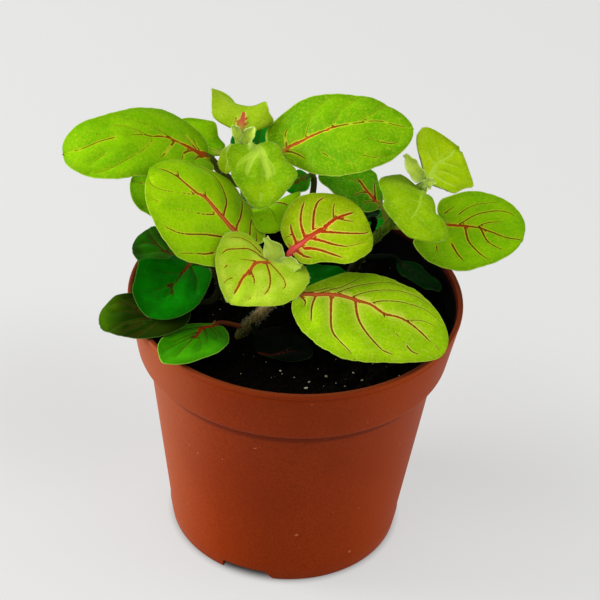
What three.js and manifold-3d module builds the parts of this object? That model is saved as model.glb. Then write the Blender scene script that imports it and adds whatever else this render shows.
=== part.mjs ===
// A nerve plant in a 9 cm nursery pot: thin terracotta-coloured plastic pot, peat soil, three leafy
// shoots with lime-green leaves, and a skirt of older dark leaves close to the soil.
// Millimetres, +Z up. The origin is on the floor, on the pot's axis. -Y is the front.
import * as THREE from 'three';
import { mergeVertices } from 'three/addons/utils/BufferGeometryUtils.js';
import Module from 'manifold-3d';

const wasm = await Module();
wasm.setup();

// Pot: heights from the floor and radii from the axis
const POT_HEIGHT = 75;
const LIP_RADIUS = 45;
const LIP_INNER_RADIUS = 43.8;
const BAND_BOTTOM = 58.7;
const BAND_BOTTOM_RADIUS = 42.1;
const BODY_TOP_RADIUS = 39.5;
const BASE_RADIUS = 31.5;
const WALL = 1.2;
const EDGE = 0.5;
const GROOVE_DEPTH = 0.7;
const GROOVE_BELOW_TOP = 2;
const FLOOR_BOTTOM = 2;
const FOOT_WIDTH = 2.6;
const POT_SIDES = 48;
const FOOT_NOTCHES = 3;
const FIRST_NOTCH_ANGLE = 251;
const NOTCH_SIZE = [9, 12, 4];
const DRAIN_HOLES = 6;
const DRAIN_RADIUS = 3;
const DRAIN_CIRCLE = 22;

// Soil and clearances
const SOIL_LEVEL = 66;
const SOIL_LUMP = 0.8;
const SOIL_RINGS = [1, 0.72, 0.48, 0.24];
const CLEARANCE = 0.3;
const STEM_HOLE_CLEARANCE = 0.4;

// Leaves and stems
const BLADE_THICKNESS = 0.7;
const RIPPLE_HEIGHT = 0.4;
const RIPPLES = 11;
const PETIOLE_RADIUS = 0.9;
const PETIOLE_REACH = 0.4;
const LARGE_LEAF = { across: [-1, -0.6, -0.15, 0, 0.15, 0.6, 1], bladeRows: 9, petioleRows: 3 };
const SMALL_LEAF = { across: [-1, -0.4, 0, 0.4, 1], bladeRows: 7, petioleRows: 2 };
const TIP_LEAF = { across: [-1, 0, 1], bladeRows: 5, petioleRows: 1 };
const SMALL_WIDTH = 14;
const STEM_SIDES = 8;
const STEM_STEPS = 12;
const TIP_RADIUS = 1.1;
const TIP_HEIGHT = 4;

const MATERIALS = {
  pot: { color: '#9c4a2c', roughness: 0.55 },
  soil: { color: '#1c1613', roughness: 1 },
  stem: { color: '#6d6a3c', roughness: 0.8 },
  bright: { color: '#8fc31a', roughness: 0.6 },
  green: { color: '#3f9a1c', roughness: 0.55 },
  dark: { color: '#1d5a1e', roughness: 0.5 },
  tip: { color: '#a9d34a', roughness: 0.65 },
};

// Each stem: its thickness and the points that its middle line runs through, from root to top
const STEMS = {
  top: {
    radius: 1.6,
    path: [[-10, 15, 57], [-11, 15, 68], [-14, 13, 85], [-15, 12.5, 100], [-15.5, 12, 112]],
  },
  front: {
    radius: 1.6,
    path: [[-16, -8, 58], [-13.5, -8, 67], [-6.5, -10, 78.5], [-4, -12, 87], [-4, -12, 91]],
  },
  right: {
    radius: 1.6,
    path: [[13, 20, 58], [14.5, 19, 68], [18.5, 15, 81], [24.5, 8.5, 94], [30.5, 3, 106]],
  },
  left: { radius: 1.4, path: [[-18, 8, 58], [-19, 7, 68], [-21.5, 5.5, 76], [-23, 5, 81]] },
  back: { radius: 1.4, path: [[2, 22, 58], [3, 22, 68], [4, 21.5, 80], [3, 21, 92]] },
};

// Each leaf: the stem that carries it and how far up that stem it starts (0 root, 1 top), where its
// blade begins and ends, and its width. Where a leaf has them: its roll about its own length in degrees
// (positive lifts its left side), how far the midrib arches up and bends to the left, how far the edges
// lift (cup), how far the lobes reach back (heart) and how much wider it is near its base (full).
const LEAVES = {
  top_leaf_left: {
    on: 'top', at: 0.8, base: [-24.5, 8, 111], tip: [-62.5, 0, 115.5],
    width: 23, roll: -25, arch: 4, color: 'bright',
  },
  top_leaf_right: {
    on: 'top', at: 0.82, base: [-5.6, 13, 112], tip: [27.6, 3, 126],
    width: 25, roll: 30, arch: 3, heart: 3.5, full: 0.2, color: 'bright',
  },
  top_leaf_front: {
    on: 'top', at: 0.98, base: [-12, 7, 116], tip: [-10.2, -9, 106.5],
    width: 15.5, arch: 2, color: 'bright',
  },
  top_leaf_back: {
    on: 'top', at: 0.98, base: [-17, 14, 116.5], tip: [-20.5, 27, 118],
    width: 16, roll: 20, cup: 5, color: 'bright',
  },
  top_leaf_rear_left: {
    on: 'top', at: 0.9, base: [-22, 17, 108], tip: [-33.5, 26, 111],
    width: 14.5, color: 'bright',
  },
  top_leaf_lower_front: {
    on: 'top', at: 0.66, base: [-11, 8, 99], tip: [-6, -2, 94],
    width: 18, color: 'bright',
  },
  top_leaf_lower_left: {
    on: 'top', at: 0.66, base: [-20.5, 14, 95.8], tip: [-46.3, 16, 92.5],
    width: 18, roll: -20, color: 'green',
  },
  top_leaf_lower_back: {
    on: 'top', at: 0.74, base: [-13, 22, 103], tip: [-12, 40, 103],
    width: 22, color: 'dark',
  },
  top_leaf_young: {
    on: 'top', at: 0.94, base: [-19.4, 10, 113.5], tip: [-20.7, 5, 108],
    width: 5, color: 'bright',
  },
  front_leaf_right: {
    on: 'front', at: 0.84, base: [-0.4, -14, 83.6], tip: [40.5, -28, 80],
    width: 27, roll: 10, arch: 3, heart: 1, full: -0.05, color: 'bright',
  },
  front_leaf_back_left: {
    on: 'front', at: 0.8, base: [-10.7, -9, 94.4], tip: [-39.8, -4, 115.8],
    width: 27, roll: -25, arch: 2, bend: 1.5, heart: 1, color: 'bright',
  },
  front_leaf_left: {
    on: 'front', at: 0.92, base: [-6.9, -13.5, 94.2], tip: [-18.5, -28, 91.5],
    width: 21.5, roll: -25, arch: 3, heart: 3, color: 'bright',
  },
  front_leaf_back_right: {
    on: 'front', at: 0.96, base: [-1.2, -10, 96], tip: [17.5, -8, 104.8],
    width: 24, roll: 20, arch: 2, heart: 2, color: 'bright',
  },
  right_leaf_top: {
    on: 'right', at: 0.98, base: [32.4, 3.5, 111.7], tip: [40, 9, 118],
    width: 18, roll: 40, cup: 2, color: 'bright',
  },
  right_leaf_front: {
    on: 'right', at: 0.97, base: [30.8, -0.5, 109.8], tip: [27, -17.5, 108],
    width: 21, roll: -20, heart: 3, color: 'bright',
  },
  right_leaf_right: {
    on: 'right', at: 0.7, base: [36.8, 8, 93], tip: [61.2, 6, 94.5],
    width: 28, roll: 10, heart: 5, color: 'bright',
  },
  right_leaf_left: {
    on: 'right', at: 0.72, base: [21.2, 10, 98.1], tip: [6, 22, 101],
    width: 17, color: 'green',
  },
  right_leaf_lower_left: {
    on: 'right', at: 0.56, base: [19.5, 13, 91.5], tip: [10, 20, 89.5],
    width: 14, color: 'dark',
  },
  back_leaf_top: {
    on: 'back', at: 0.97, base: [1.4, 18, 101], tip: [-5, 16, 98],
    width: 10, color: 'dark',
  },
  low_leaf_left: {
    on: 'left', at: 0.95, base: [-28.5, 4, 80.6], tip: [-38, -18, 79.5],
    width: 23, heart: 2, color: 'dark',
  },
  low_leaf_rear_left: {
    on: 'left', at: 0.75, base: [-29, 16, 77], tip: [-44.6, 14, 77.7],
    width: 18, color: 'dark',
  },
  low_leaf_over_rim: {
    on: 'left', at: 0.6, base: [-28, -10.5, 76.5], tip: [-51, -21.5, 77],
    width: 15, color: 'dark',
  },
  low_leaf_front_left: {
    on: 'front', at: 0.3, base: [-19.2, -10.5, 70.2], tip: [-33.2, -36.5, 77.5],
    width: 16.5, arch: 1, cup: -1, full: 0.2, color: 'green',
  },
  low_leaf_front: {
    on: 'front', at: 0.4, base: [-10, -12, 69.5], tip: [5, -19, 68.5],
    width: 13, color: 'dark',
  },
  low_leaf_middle: {
    on: 'back', at: 0.4, base: [1, 4, 77], tip: [13, 8, 77.2],
    width: 12, color: 'dark',
  },
  low_leaf_right: {
    on: 'right', at: 0.35, base: [27.4, 16, 72], tip: [38.6, 8, 71],
    width: 7, color: 'dark',
  },
  low_leaf_back_left: {
    on: 'top', at: 0.36, base: [-14, 23, 77], tip: [-21, 40, 79],
    width: 17, arch: 2, color: 'green',
  },
  low_leaf_back: {
    on: 'back', at: 0.5, base: [4, 28, 78], tip: [2, 41, 77],
    width: 15, arch: 2, color: 'dark',
  },
  low_leaf_back_right: {
    on: 'back', at: 0.42, base: [11, 25, 76], tip: [25, 37, 77.5],
    width: 16, arch: 2, color: 'dark',
  },
};

// Each growing tip: the stem that it ends, and its small young leaves, as above
const TIPS = {
  top: [
    { base: [-16.4, 11.5, 117.5], tip: [-18.6, 12, 121], width: 3.5 },
    { base: [-15, 11, 117], tip: [-11.5, 10, 119.5], width: 4 },
  ],
  front: [
    { base: [-4.6, -13.5, 95.5], tip: [-7.8, -14, 101.5], width: 5 },
    { base: [-3.8, -15, 95.5], tip: [0.2, -19, 96.5], width: 5 },
  ],
  right: [
    { base: [30.8, 1.2, 112.2], tip: [26.1, 1, 119.8], width: 6.5 },
    { base: [32, 0.6, 111.6], tip: [34, 0.5, 113], width: 3 },
  ],
};

// Lofts a closed solid through rows of points. Every row is a ring with the same number of points,
// half on the upper face and half on the lower face, both listed from left to right.
function loftFaces(rows, tip) {
  const half = rows[0].length / 2;
  const positions = rows.flat().concat(tip);
  const index = [];
  const quad = (a, b, c, d) => index.push(a, b, c, a, c, d);
  rows.slice(1).forEach((_, k) => {
    const near = k * 2 * half;
    const far = near + 2 * half;
    for (let i = 0; i < half - 1; i += 1) {
      quad(near + i, near + i + 1, far + i + 1, far + i);
      quad(near + half + i + 1, near + half + i, far + half + i, far + half + i + 1);
    }
    quad(near + half, near, far, far + half);
    quad(near + half - 1, near + 2 * half - 1, far + 2 * half - 1, far + half - 1);
  });
  const last = (rows.length - 1) * 2 * half;
  const top = rows.length * 2 * half;
  for (let i = 0; i < half - 1; i += 1) {
    index.push(last + i, last + i + 1, top);
    index.push(last + half + i + 1, last + half + i, top + 1);
    quad(i + 1, i, half + i, half + i + 1);
  }
  quad(last + half, last, top, top + 1);
  quad(last + half - 1, last + 2 * half - 1, top + 1, top);
  return indexedGeometry(positions.flatMap((p) => p.toArray()), index);
}

// The middle surface of a blade: along runs from 0 at the base to 1 at the tip, across from -1 to 1
function bladeSurface(leaf) {
  const { base, tip, width, roll = 0, arch = 0, bend = 0, cup = 0, heart = 0, full = 0.15 } = leaf;
  const start = new THREE.Vector3(...base);
  const chord = new THREE.Vector3(...tip).sub(start);
  const axis = chord.clone().normalize();
  const left = new THREE.Vector3(0, 0, 1).cross(axis).normalize();
  left.applyAxisAngle(axis, THREE.MathUtils.degToRad(roll));
  const lift = axis.clone().cross(left);
  const point = (along, across) => {
    const hump = 4 * along * (1 - along);
    const round = Math.sqrt(hump) * (1 + full * (1 - 2 * along));
    const edge = across * across;
    const ripple = RIPPLE_HEIGHT * edge * Math.sin(RIPPLES * along + 2 * across + width);
    return start.clone()
      .addScaledVector(chord, along)
      .addScaledVector(axis, -heart * edge * (1 - along) ** 4)
      .addScaledVector(lift, arch * hump + cup * edge * round + ripple * Math.sqrt(hump))
      .addScaledVector(left, bend * hump - across * round * width / 2);
  };
  return { point, left, lift, axis };
}

function surfaceNormal(surface, along, across) {
  const step = 0.01;
  const lengthways = surface.point(along + step / 2, across).sub(surface.point(along - step / 2, across));
  const crossways = surface.point(along, across + step).sub(surface.point(along, across - step));
  return crossways.cross(lengthways).normalize();
}

function stemCurve(name, deeper = 0) {
  const points = STEMS[name].path.map((p) => new THREE.Vector3(...p));
  points[0].z -= deeper;
  return new THREE.CatmullRomCurve3(points);
}

// A stem is thickest at its root
function stemRadius(radius, along) {
  return radius * (1.05 - 0.2 * along);
}

// One leaf: a round petiole that flattens into the blade, with the midrib as a low ridge underneath.
// The petiole starts at the given point, square to its stem.
function leafGeometry(leaf, start, outward, petioleRadius, detail) {
  const { across, bladeRows, petioleRows } = detail;
  const surface = bladeSurface(leaf);
  const base = surface.point(0, 0);
  const heading = surface.point(0.04, 0).sub(base).normalize();
  const reach = base.distanceTo(start) * PETIOLE_REACH;
  const petiole = new THREE.CubicBezierCurve3(
    start,
    start.clone().addScaledVector(outward, reach),
    base.clone().addScaledVector(heading, -reach),
    base,
  );
  const rows = [];
  for (let k = 0; k <= petioleRows; k += 1) {
    const center = petiole.getPoint(k / petioleRows);
    const along = petiole.getTangent(k / petioleRows);
    const side = surface.left.clone().addScaledVector(along, -surface.left.dot(along)).normalize();
    const up = along.clone().cross(side);
    const ring = (face) => across.map((t) => center.clone()
      .addScaledVector(side, -t * petioleRadius)
      .addScaledVector(up, face * petioleRadius * Math.max(0.3, Math.sqrt(1 - t * t))));
    rows.push([...ring(1), ...ring(-1)]);
  }
  for (let k = 1; k < bladeRows; k += 1) {
    const along = (1 - Math.cos(Math.PI * k / bladeRows)) / 2;
    const ridge = (petioleRadius - BLADE_THICKNESS / 2) * (1 - along);
    const face = (side) => across.map((t) => {
      const offset = BLADE_THICKNESS / 2 + (side < 0 && t === 0 ? ridge : 0);
      return surface.point(along, t).addScaledVector(surfaceNormal(surface, along, t), side * offset);
    });
    rows.push([...face(1), ...face(-1)]);
  }
  const end = surface.point(1, 0);
  const tip = [1, -1].map((side) => end.clone().addScaledVector(surface.lift, side * BLADE_THICKNESS / 2));
  return loftFaces(rows, tip);
}

// A leaf on its stem: the petiole leaves square to the stem, a hair clear of its skin
function stemLeaf(leaf) {
  const curve = stemCurve(leaf.on);
  const joint = curve.getPointAt(leaf.at);
  const grain = curve.getTangentAt(leaf.at);
  const outward = new THREE.Vector3(...leaf.base).sub(joint);
  outward.addScaledVector(grain, -outward.dot(grain)).normalize();
  const skin = stemRadius(STEMS[leaf.on].radius, leaf.at) + CLEARANCE;
  const detail = leaf.width > SMALL_WIDTH ? LARGE_LEAF : SMALL_LEAF;
  return leafGeometry(leaf, joint.clone().addScaledVector(outward, skin), outward, PETIOLE_RADIUS, detail);
}

// A growing tip: a short stub above the stem's end with small leaves round it, as one solid
function tipGeometry(name) {
  const curve = stemCurve(name);
  const grain = curve.getTangentAt(1);
  const foot = curve.getPointAt(1).addScaledVector(grain, CLEARANCE);
  const head = foot.clone().addScaledVector(grain, TIP_HEIGHT);
  const taper = (along) => TIP_RADIUS * (1 - along / 2);
  const stub = rodGeometry(new THREE.LineCurve3(foot, head), taper, STEM_SIDES, 2);
  const leaves = TIPS[name].map((leaf) => {
    const outward = new THREE.Vector3(...leaf.base).sub(foot).normalize();
    const start = foot.clone().addScaledVector(grain, TIP_HEIGHT * 0.6);
    return toManifold(leafGeometry(leaf, start, outward, TIP_RADIUS / 2, TIP_LEAF));
  });
  return fromManifold(leaves.reduce((solid, leaf) => solid.add(leaf), toManifold(stub)));
}

// A closed round rod along a curve; radiusAt gives its radius from 0 at the root to 1 at the top
function rodGeometry(curve, radiusAt, sides, steps) {
  const frames = curve.computeFrenetFrames(steps);
  const positions = [];
  const index = [];
  for (let k = 0; k <= steps; k += 1) {
    const center = curve.getPointAt(k / steps);
    for (let i = 0; i < sides; i += 1) {
      const angle = 2 * Math.PI * i / sides;
      const p = center.clone()
        .addScaledVector(frames.normals[k], radiusAt(k / steps) * Math.cos(angle))
        .addScaledVector(frames.binormals[k], radiusAt(k / steps) * Math.sin(angle));
      positions.push(...p.toArray());
      if (k < steps) {
        const next = k * sides + (i + 1) % sides;
        const here = k * sides + i;
        index.push(here, next, next + sides, here, next + sides, here + sides);
      }
    }
  }
  for (let i = 1; i < sides - 1; i += 1) {
    index.push(0, i + 1, i);
    index.push(steps * sides, steps * sides + i, steps * sides + i + 1);
  }
  return indexedGeometry(positions, index);
}

function indexedGeometry(positions, index) {
  const geometry = new THREE.BufferGeometry();
  geometry.setAttribute('position', new THREE.Float32BufferAttribute(positions, 3));
  geometry.setIndex(index);
  return geometry;
}

function toManifold(geometry) {
  const bare = geometry.clone();
  bare.deleteAttribute('normal');
  bare.deleteAttribute('uv');
  const merged = mergeVertices(bare, 1e-4);
  return new wasm.Manifold(new wasm.Mesh({
    numProp: 3,
    vertProperties: new Float32Array(merged.attributes.position.array),
    triVerts: new Uint32Array(merged.index.array),
  }));
}

function fromManifold(solid) {
  const { vertProperties, triVerts } = solid.getMesh();
  const geometry = new THREE.BufferGeometry();
  geometry.setAttribute('position', new THREE.Float32BufferAttribute(vertProperties, 3));
  geometry.setIndex(new THREE.BufferAttribute(new Uint32Array(triVerts), 1));
  return geometry;
}

function lathe(profile) {
  const points = profile.map(([r, z]) => new THREE.Vector2(r, z));
  const geometry = new THREE.LatheGeometry([...points, points[0]], POT_SIDES);
  return geometry.rotateX(Math.PI / 2);
}

// The pot: its wall is drawn once round, then the foot's notches and the drain holes are cut
function potGeometry() {
  const innerBody = BODY_TOP_RADIUS - WALL;
  const innerBand = BAND_BOTTOM_RADIUS - WALL;
  const footOuter = BASE_RADIUS - EDGE;
  const footInner = footOuter - FOOT_WIDTH;
  const floorTop = FLOOR_BOTTOM + WALL;
  const grooveHeight = POT_HEIGHT - GROOVE_BELOW_TOP;
  const shell = lathe([
    // Foot ring and body, then the step out to the band
    [footInner, 0], [footOuter, 0], [BASE_RADIUS, EDGE], [BODY_TOP_RADIUS, BAND_BOTTOM + EDGE],
    [BAND_BOTTOM_RADIUS - EDGE, BAND_BOTTOM - EDGE / 2], [BAND_BOTTOM_RADIUS, BAND_BOTTOM + EDGE / 2],
    // The fine groove under the lip, and the lip
    [LIP_RADIUS - EDGE, grooveHeight - EDGE], [LIP_RADIUS - GROOVE_DEPTH, grooveHeight],
    [LIP_RADIUS, grooveHeight + EDGE], [LIP_RADIUS, POT_HEIGHT - EDGE], [LIP_RADIUS - EDGE, POT_HEIGHT],
    [LIP_INNER_RADIUS, POT_HEIGHT], [LIP_INNER_RADIUS - EDGE, POT_HEIGHT - EDGE],
    // Inside of the band and the body, the floor, and the hollow under it
    [innerBand, BAND_BOTTOM + 2 * EDGE], [innerBody, BAND_BOTTOM - EDGE],
    [BASE_RADIUS - WALL, floorTop], [0, floorTop], [0, FLOOR_BOTTOM], [footInner - EDGE, FLOOR_BOTTOM],
  ]);
  const cuts = [];
  for (let k = 0; k < FOOT_NOTCHES; k += 1) {
    const angle = THREE.MathUtils.degToRad(FIRST_NOTCH_ANGLE + 360 * k / FOOT_NOTCHES);
    const notch = new THREE.BoxGeometry(...NOTCH_SIZE).translate(BASE_RADIUS - 1, 0, 0);
    cuts.push(notch.rotateZ(angle));
  }
  for (let k = 0; k < DRAIN_HOLES; k += 1) {
    const hole = new THREE.CylinderGeometry(DRAIN_RADIUS, DRAIN_RADIUS, 4 * WALL, 12);
    hole.rotateX(Math.PI / 2).translate(DRAIN_CIRCLE, 0, floorTop);
    cuts.push(hole.rotateZ(2 * Math.PI * (k + 0.5) / DRAIN_HOLES));
  }
  return fromManifold(cuts.reduce((solid, cut) => solid.subtract(toManifold(cut)), toManifold(shell)));
}

// The root ball fills the pot, and its top is lumpy by a sum of waves
function soilGeometry() {
  const gap = CLEARANCE;
  const floor = FLOOR_BOTTOM + WALL + gap;
  const slope = (LIP_INNER_RADIUS - BAND_BOTTOM_RADIUS + WALL) / (POT_HEIGHT - BAND_BOTTOM);
  const lowestEdge = SOIL_LEVEL - 2 * SOIL_LUMP;
  const rim = BAND_BOTTOM_RADIUS - WALL - 2 * gap + slope * (lowestEdge - BAND_BOTTOM);
  const profile = [
    [0, floor],
    [BASE_RADIUS - WALL - 2 * gap, floor],
    [BODY_TOP_RADIUS - WALL - 2 * gap, BAND_BOTTOM - 1.1],
    [BAND_BOTTOM_RADIUS - WALL - 4 * gap, BAND_BOTTOM + 2.3],
    ...SOIL_RINGS.map((part) => [rim * part, SOIL_LEVEL]),
    [0, SOIL_LEVEL],
  ];
  const geometry = lathe(profile);
  const at = geometry.attributes.position;
  for (let i = 0; i < at.count; i += 1) {
    const [x, y, z] = [at.getX(i), at.getY(i), at.getZ(i)];
    if (z === SOIL_LEVEL) {
      const lumps = Math.sin(0.31 * x + 1) * Math.cos(0.27 * y) + 0.6 * Math.sin(0.83 * x - 0.6 * y);
      at.setZ(i, SOIL_LEVEL + SOIL_LUMP * lumps);
    }
  }
  const holes = Object.keys(STEMS).map((name) => toManifold(stemGeometry(name, STEM_HOLE_CLEARANCE)));
  return fromManifold(holes.reduce((solid, hole) => solid.subtract(hole), toManifold(geometry)));
}

function stemGeometry(name, extra = 0) {
  const thick = (along) => stemRadius(STEMS[name].radius, along) + extra;
  return rodGeometry(stemCurve(name, 1.5 * extra), thick, STEM_SIDES, STEM_STEPS);
}

const group = new THREE.Group();

function addPart(name, geometry, look) {
  const material = new THREE.MeshStandardMaterial({ metalness: 0, ...MATERIALS[look] });
  const mesh = new THREE.Mesh(geometry, material);
  mesh.name = name;
  group.add(mesh);
}

addPart('pot', potGeometry(), 'pot');
addPart('soil', soilGeometry(), 'soil');
for (const name of Object.keys(STEMS)) {
  addPart(`${name}_stem`, stemGeometry(name), 'stem');
}
for (const [name, leaf] of Object.entries(LEAVES)) {
  addPart(name, stemLeaf(leaf), leaf.color);
}
for (const name of Object.keys(TIPS)) {
  addPart(`${name}_growing_tip`, tipGeometry(name), 'tip');
}

export default group;
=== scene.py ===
# A young nerve plant in a 9 cm plastic nursery pot, with lime-green leaves, red veins and dark peat.
# Metres, +Z up, -Y to the front, with the pieces' own sizes in millimetres. The origin is on the floor,
# on the pot's axis.
import math

import bmesh
import bpy
import numpy as np
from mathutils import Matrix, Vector, noise


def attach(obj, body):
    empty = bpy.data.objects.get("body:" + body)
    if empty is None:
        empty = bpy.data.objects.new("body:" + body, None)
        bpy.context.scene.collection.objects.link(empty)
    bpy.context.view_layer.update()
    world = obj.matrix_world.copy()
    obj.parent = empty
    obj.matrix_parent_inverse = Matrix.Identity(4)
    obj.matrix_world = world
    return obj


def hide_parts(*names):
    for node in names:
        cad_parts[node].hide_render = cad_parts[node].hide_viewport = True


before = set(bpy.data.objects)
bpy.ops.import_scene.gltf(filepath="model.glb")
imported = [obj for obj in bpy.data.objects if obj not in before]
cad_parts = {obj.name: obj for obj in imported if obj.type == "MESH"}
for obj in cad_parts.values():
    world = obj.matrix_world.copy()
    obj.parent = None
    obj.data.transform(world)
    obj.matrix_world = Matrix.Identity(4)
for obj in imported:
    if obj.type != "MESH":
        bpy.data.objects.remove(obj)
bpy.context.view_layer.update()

# Camera
# A long lens looks down on the plant from the front, rolled by under three degrees, as for the photo.
LENS = 145.92
CAMERA_PLACE = (0, -0.53038, 0.45394)
CAMERA_TURN = (54.245, -2.774, 1.863)
camera = bpy.data.objects.new("camera", bpy.data.cameras.new("camera"))
camera.data.sensor_width = 36
camera.data.lens = LENS
camera.location = CAMERA_PLACE
camera.rotation_euler = [math.radians(angle) for angle in CAMERA_TURN]
bpy.context.scene.collection.objects.link(camera)
bpy.context.scene.camera = camera
bpy.context.scene.view_settings.view_transform = "Standard"


# Studio
# A pale matt floor under an even white sky, lit by two soft lamps overhead and a low one at each side.
# The floor lies a hair under the pot's foot and glows a little, which lightens the shadows on it; the glow
# fades out under and just beside the pot's foot, a painted contact shadow, and dims at two spots further
# out, painted soft shadows.
FLOOR_SIZE = 6
FLOOR_DROP = 0.0001
FLOOR_TONE = (0.19, 0.19, 0.188, 1)
FLOOR_GLOW = 0.53
GLOW_STARTS, GLOW_FULL = 28.5, 33.5
GLOW_TONE = (1, 1, 0.99, 1)
PAINTED_SHADOW_SPOTS = [((-78, 45, 0), 0.06), ((68, 40, 0), 0.045)]
SKY_LIGHT = 0.52
LAMPS = [
    ("overhead lamp", 1.3, 6.5, (-0.35, -0.35, 1.26)),
    ("second overhead lamp", 1.1, 3.4, (0.45, -0.3, 1.25)),
    ("left lamp", 0.5, 11, (-0.9, 0.05, 0.35)),
    ("right lamp", 0.5, 2.1, (0.9, -0.05, 0.35)),
]


class Wire:
    """A socket in a material. Arithmetic on it adds Math nodes, and node() adds any other node."""

    def __init__(self, tree, socket=None):
        self.tree, self.socket = tree, socket

    def node(self, kind, settings=None, values=None, output=0):
        """A new node with its settings, the values or wires of its sockets, and one output as a wire."""
        made = self.tree.nodes.new("ShaderNode" + kind)
        for name, value in (settings or {}).items():
            setattr(made, name, value)
        for name, value in (values or {}).items():
            if isinstance(value, Wire):
                self.tree.links.new(value.socket, made.inputs[name])
            else:
                made.inputs[name].default_value = value
        return Wire(self.tree, made.outputs[output])

    def math(self, operation, *values):
        return self.node("Math", {"operation": operation}, dict(enumerate(values)))

    def __add__(self, other):
        return self.math("ADD", self, other)

    def __sub__(self, other):
        return self.math("SUBTRACT", self, other)

    def __rsub__(self, other):
        return self.math("SUBTRACT", other, self)

    def __mul__(self, other):
        return self.math("MULTIPLY", self, other)

    def __truediv__(self, other):
        return self.math("DIVIDE", self, other)

    def __abs__(self):
        return self.math("ABSOLUTE", self)

    __radd__, __rmul__ = __add__, __mul__

    def most(self, other):
        return self.math("MAXIMUM", self, other)

    def least(self, other):
        return self.math("MINIMUM", self, other)

    def rise(self, low, high):
        """0 where this is at low, 1 where it is at high, with a smooth step between."""
        ends = {"Value": self, "From Min": low, "From Max": high}
        return self.node("MapRange", {"interpolation_type": "SMOOTHSTEP"}, ends)

    def tint(self, without, full):
        """The colour without where this is 0, and full where it is 1."""
        return self.node("Mix", {"data_type": "RGBA"}, {0: self, 6: without, 7: full}, output=2)

    def fleck(self, scale, detail=2.0, rough=0.5):
        """Soft noise from 0 to 1 over the place that this wire holds."""
        sockets = {"Vector": self, "Scale": scale, "Detail": detail, "Roughness": rough}
        return self.node("TexNoise", {}, sockets)

    def axis(self, name):
        """The X, Y or Z of the place that this wire holds."""
        return self.node("SeparateXYZ", {}, {0: self}, output=name)

    def stretched(self, factors):
        """The place that this wire holds, with each axis multiplied."""
        return self.node("VectorMath", {"operation": "MULTIPLY"}, {0: self, 1: factors})

    def length(self):
        """How far the place that this wire holds is from the origin."""
        return self.node("VectorMath", {"operation": "LENGTH"}, {0: self}, output="Value")


def paint(red, green, blue):
    """A colour as a screen shows it, from 0 to 255, as the linear colour that a shader needs."""
    shares = [value / 255 for value in (red, green, blue)]
    return (*(s / 12.92 if s < 0.04045 else ((s + 0.055) / 1.055) ** 2.4 for s in shares), 1.0)


def finish(name, roughness=0.6):
    """A new material: its wire, its shader's sockets, and each point's place in millimetres."""
    made = bpy.data.materials.new(name)
    made.use_nodes = True
    wire = Wire(made.node_tree)
    shader = made.node_tree.nodes["Principled BSDF"].inputs
    shader["Roughness"].default_value = roughness
    place = wire.node("TexCoord", output="Object")
    place = wire.node("VectorMath", {"operation": "SCALE"}, {0: place, "Scale": 1000.0})
    return made, shader, place


def join(wire, socket):
    """Links a wire to one of a shader's sockets."""
    wire.tree.links.new(wire.socket, socket)


reach = FLOOR_SIZE / 2
corners = [(-reach, -reach), (reach, -reach), (reach, reach), (-reach, reach)]
floor_mesh = bpy.data.meshes.new("floor")
floor_mesh.from_pydata([(x, y, -FLOOR_DROP) for x, y in corners], [], [(0, 1, 2, 3)])
floor = bpy.data.objects.new("floor", floor_mesh)
bpy.context.scene.collection.objects.link(floor)
floor_finish, shader, place = finish("pale floor", 0.9)
shader["Base Color"].default_value = FLOOR_TONE
shader["Specular IOR Level"].default_value = 0.0
shader["Emission Strength"].default_value = 1.0
# The glow fades out under and just beside the pot's foot, a painted contact shadow; two spots further out
# are dimmed as painted soft shadows.
glow = place.length().rise(GLOW_STARTS, GLOW_FULL) * FLOOR_GLOW
for spot, shade in PAINTED_SHADOW_SPOTS:
    gap = place.node("VectorMath", {"operation": "DISTANCE"}, {0: place, 1: spot}, output="Value")
    glow = glow - (1 - gap.rise(5, 60)) * shade
join(glow.tint((0, 0, 0, 1), GLOW_TONE), shader["Emission Color"])
floor_mesh.materials.append(floor_finish)

sky = bpy.data.worlds.new("studio")
sky.use_nodes = True
sky.node_tree.nodes["Background"].inputs["Color"].default_value = (1, 1, 1, 1)
sky.node_tree.nodes["Background"].inputs["Strength"].default_value = SKY_LIGHT
bpy.context.scene.world = sky

for name, size, power, spot in LAMPS:
    lamp = bpy.data.objects.new(name, bpy.data.lights.new(name, "AREA"))
    lamp.data.shape = "DISK"
    lamp.data.size = size
    lamp.data.energy = power
    lamp.location = spot
    lamp.rotation_euler = (-Vector(spot)).to_track_quat("-Z", "Y").to_euler()
    bpy.context.scene.collection.objects.link(lamp)


# Pot
# A nursery pot, moulded in one go from thin terracotta-coloured plastic: a tapered body, a wider band
# with a fine groove under its lip, a foot ring with three notches, and drain holes in the floor.
MM = 0.001
POT_HEIGHT = 75
LIP_RADIUS = 45
LIP_INNER_RADIUS = 43.8
BAND_BOTTOM = 58.7
BAND_BOTTOM_RADIUS = 42.1
BAND_SLOPE = 0.175
BODY_TOP_RADIUS = 39.5
BASE_RADIUS = 31.5
WALL = 1.2
FLOOR_BOTTOM = 3.2
FOOT_WIDTH = 2.6
MOULD_LINE = 5.5
NOTCH_ANGLES = (252.5, 12.5, 132.5)
DRAIN_HOLES = 6
DRAIN_CIRCLE = 22
DRAIN_RADIUS = 3
POT_SIDES = 160
SHARP = 50
TERRACOTTA, REDDER = paint(130, 43, 4), paint(140, 49, 6)
DARK_GRAIN = paint(114, 35, 3)
PALE_SPECK = paint(205, 130, 90)
PAINTED_SHEEN_TONE, LIT_SIDE = paint(166, 92, 54), paint(162, 62, 4)
BAND_SHADOW_TONE = paint(84, 24, 4)
LIP_TOP = paint(94, 40, 14)
INSIDE_SHADE_AND_SOIL_LOW, INSIDE_SHADE_AND_SOIL_HIGH = paint(3, 2, 2), paint(66, 19, 6)


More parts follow.
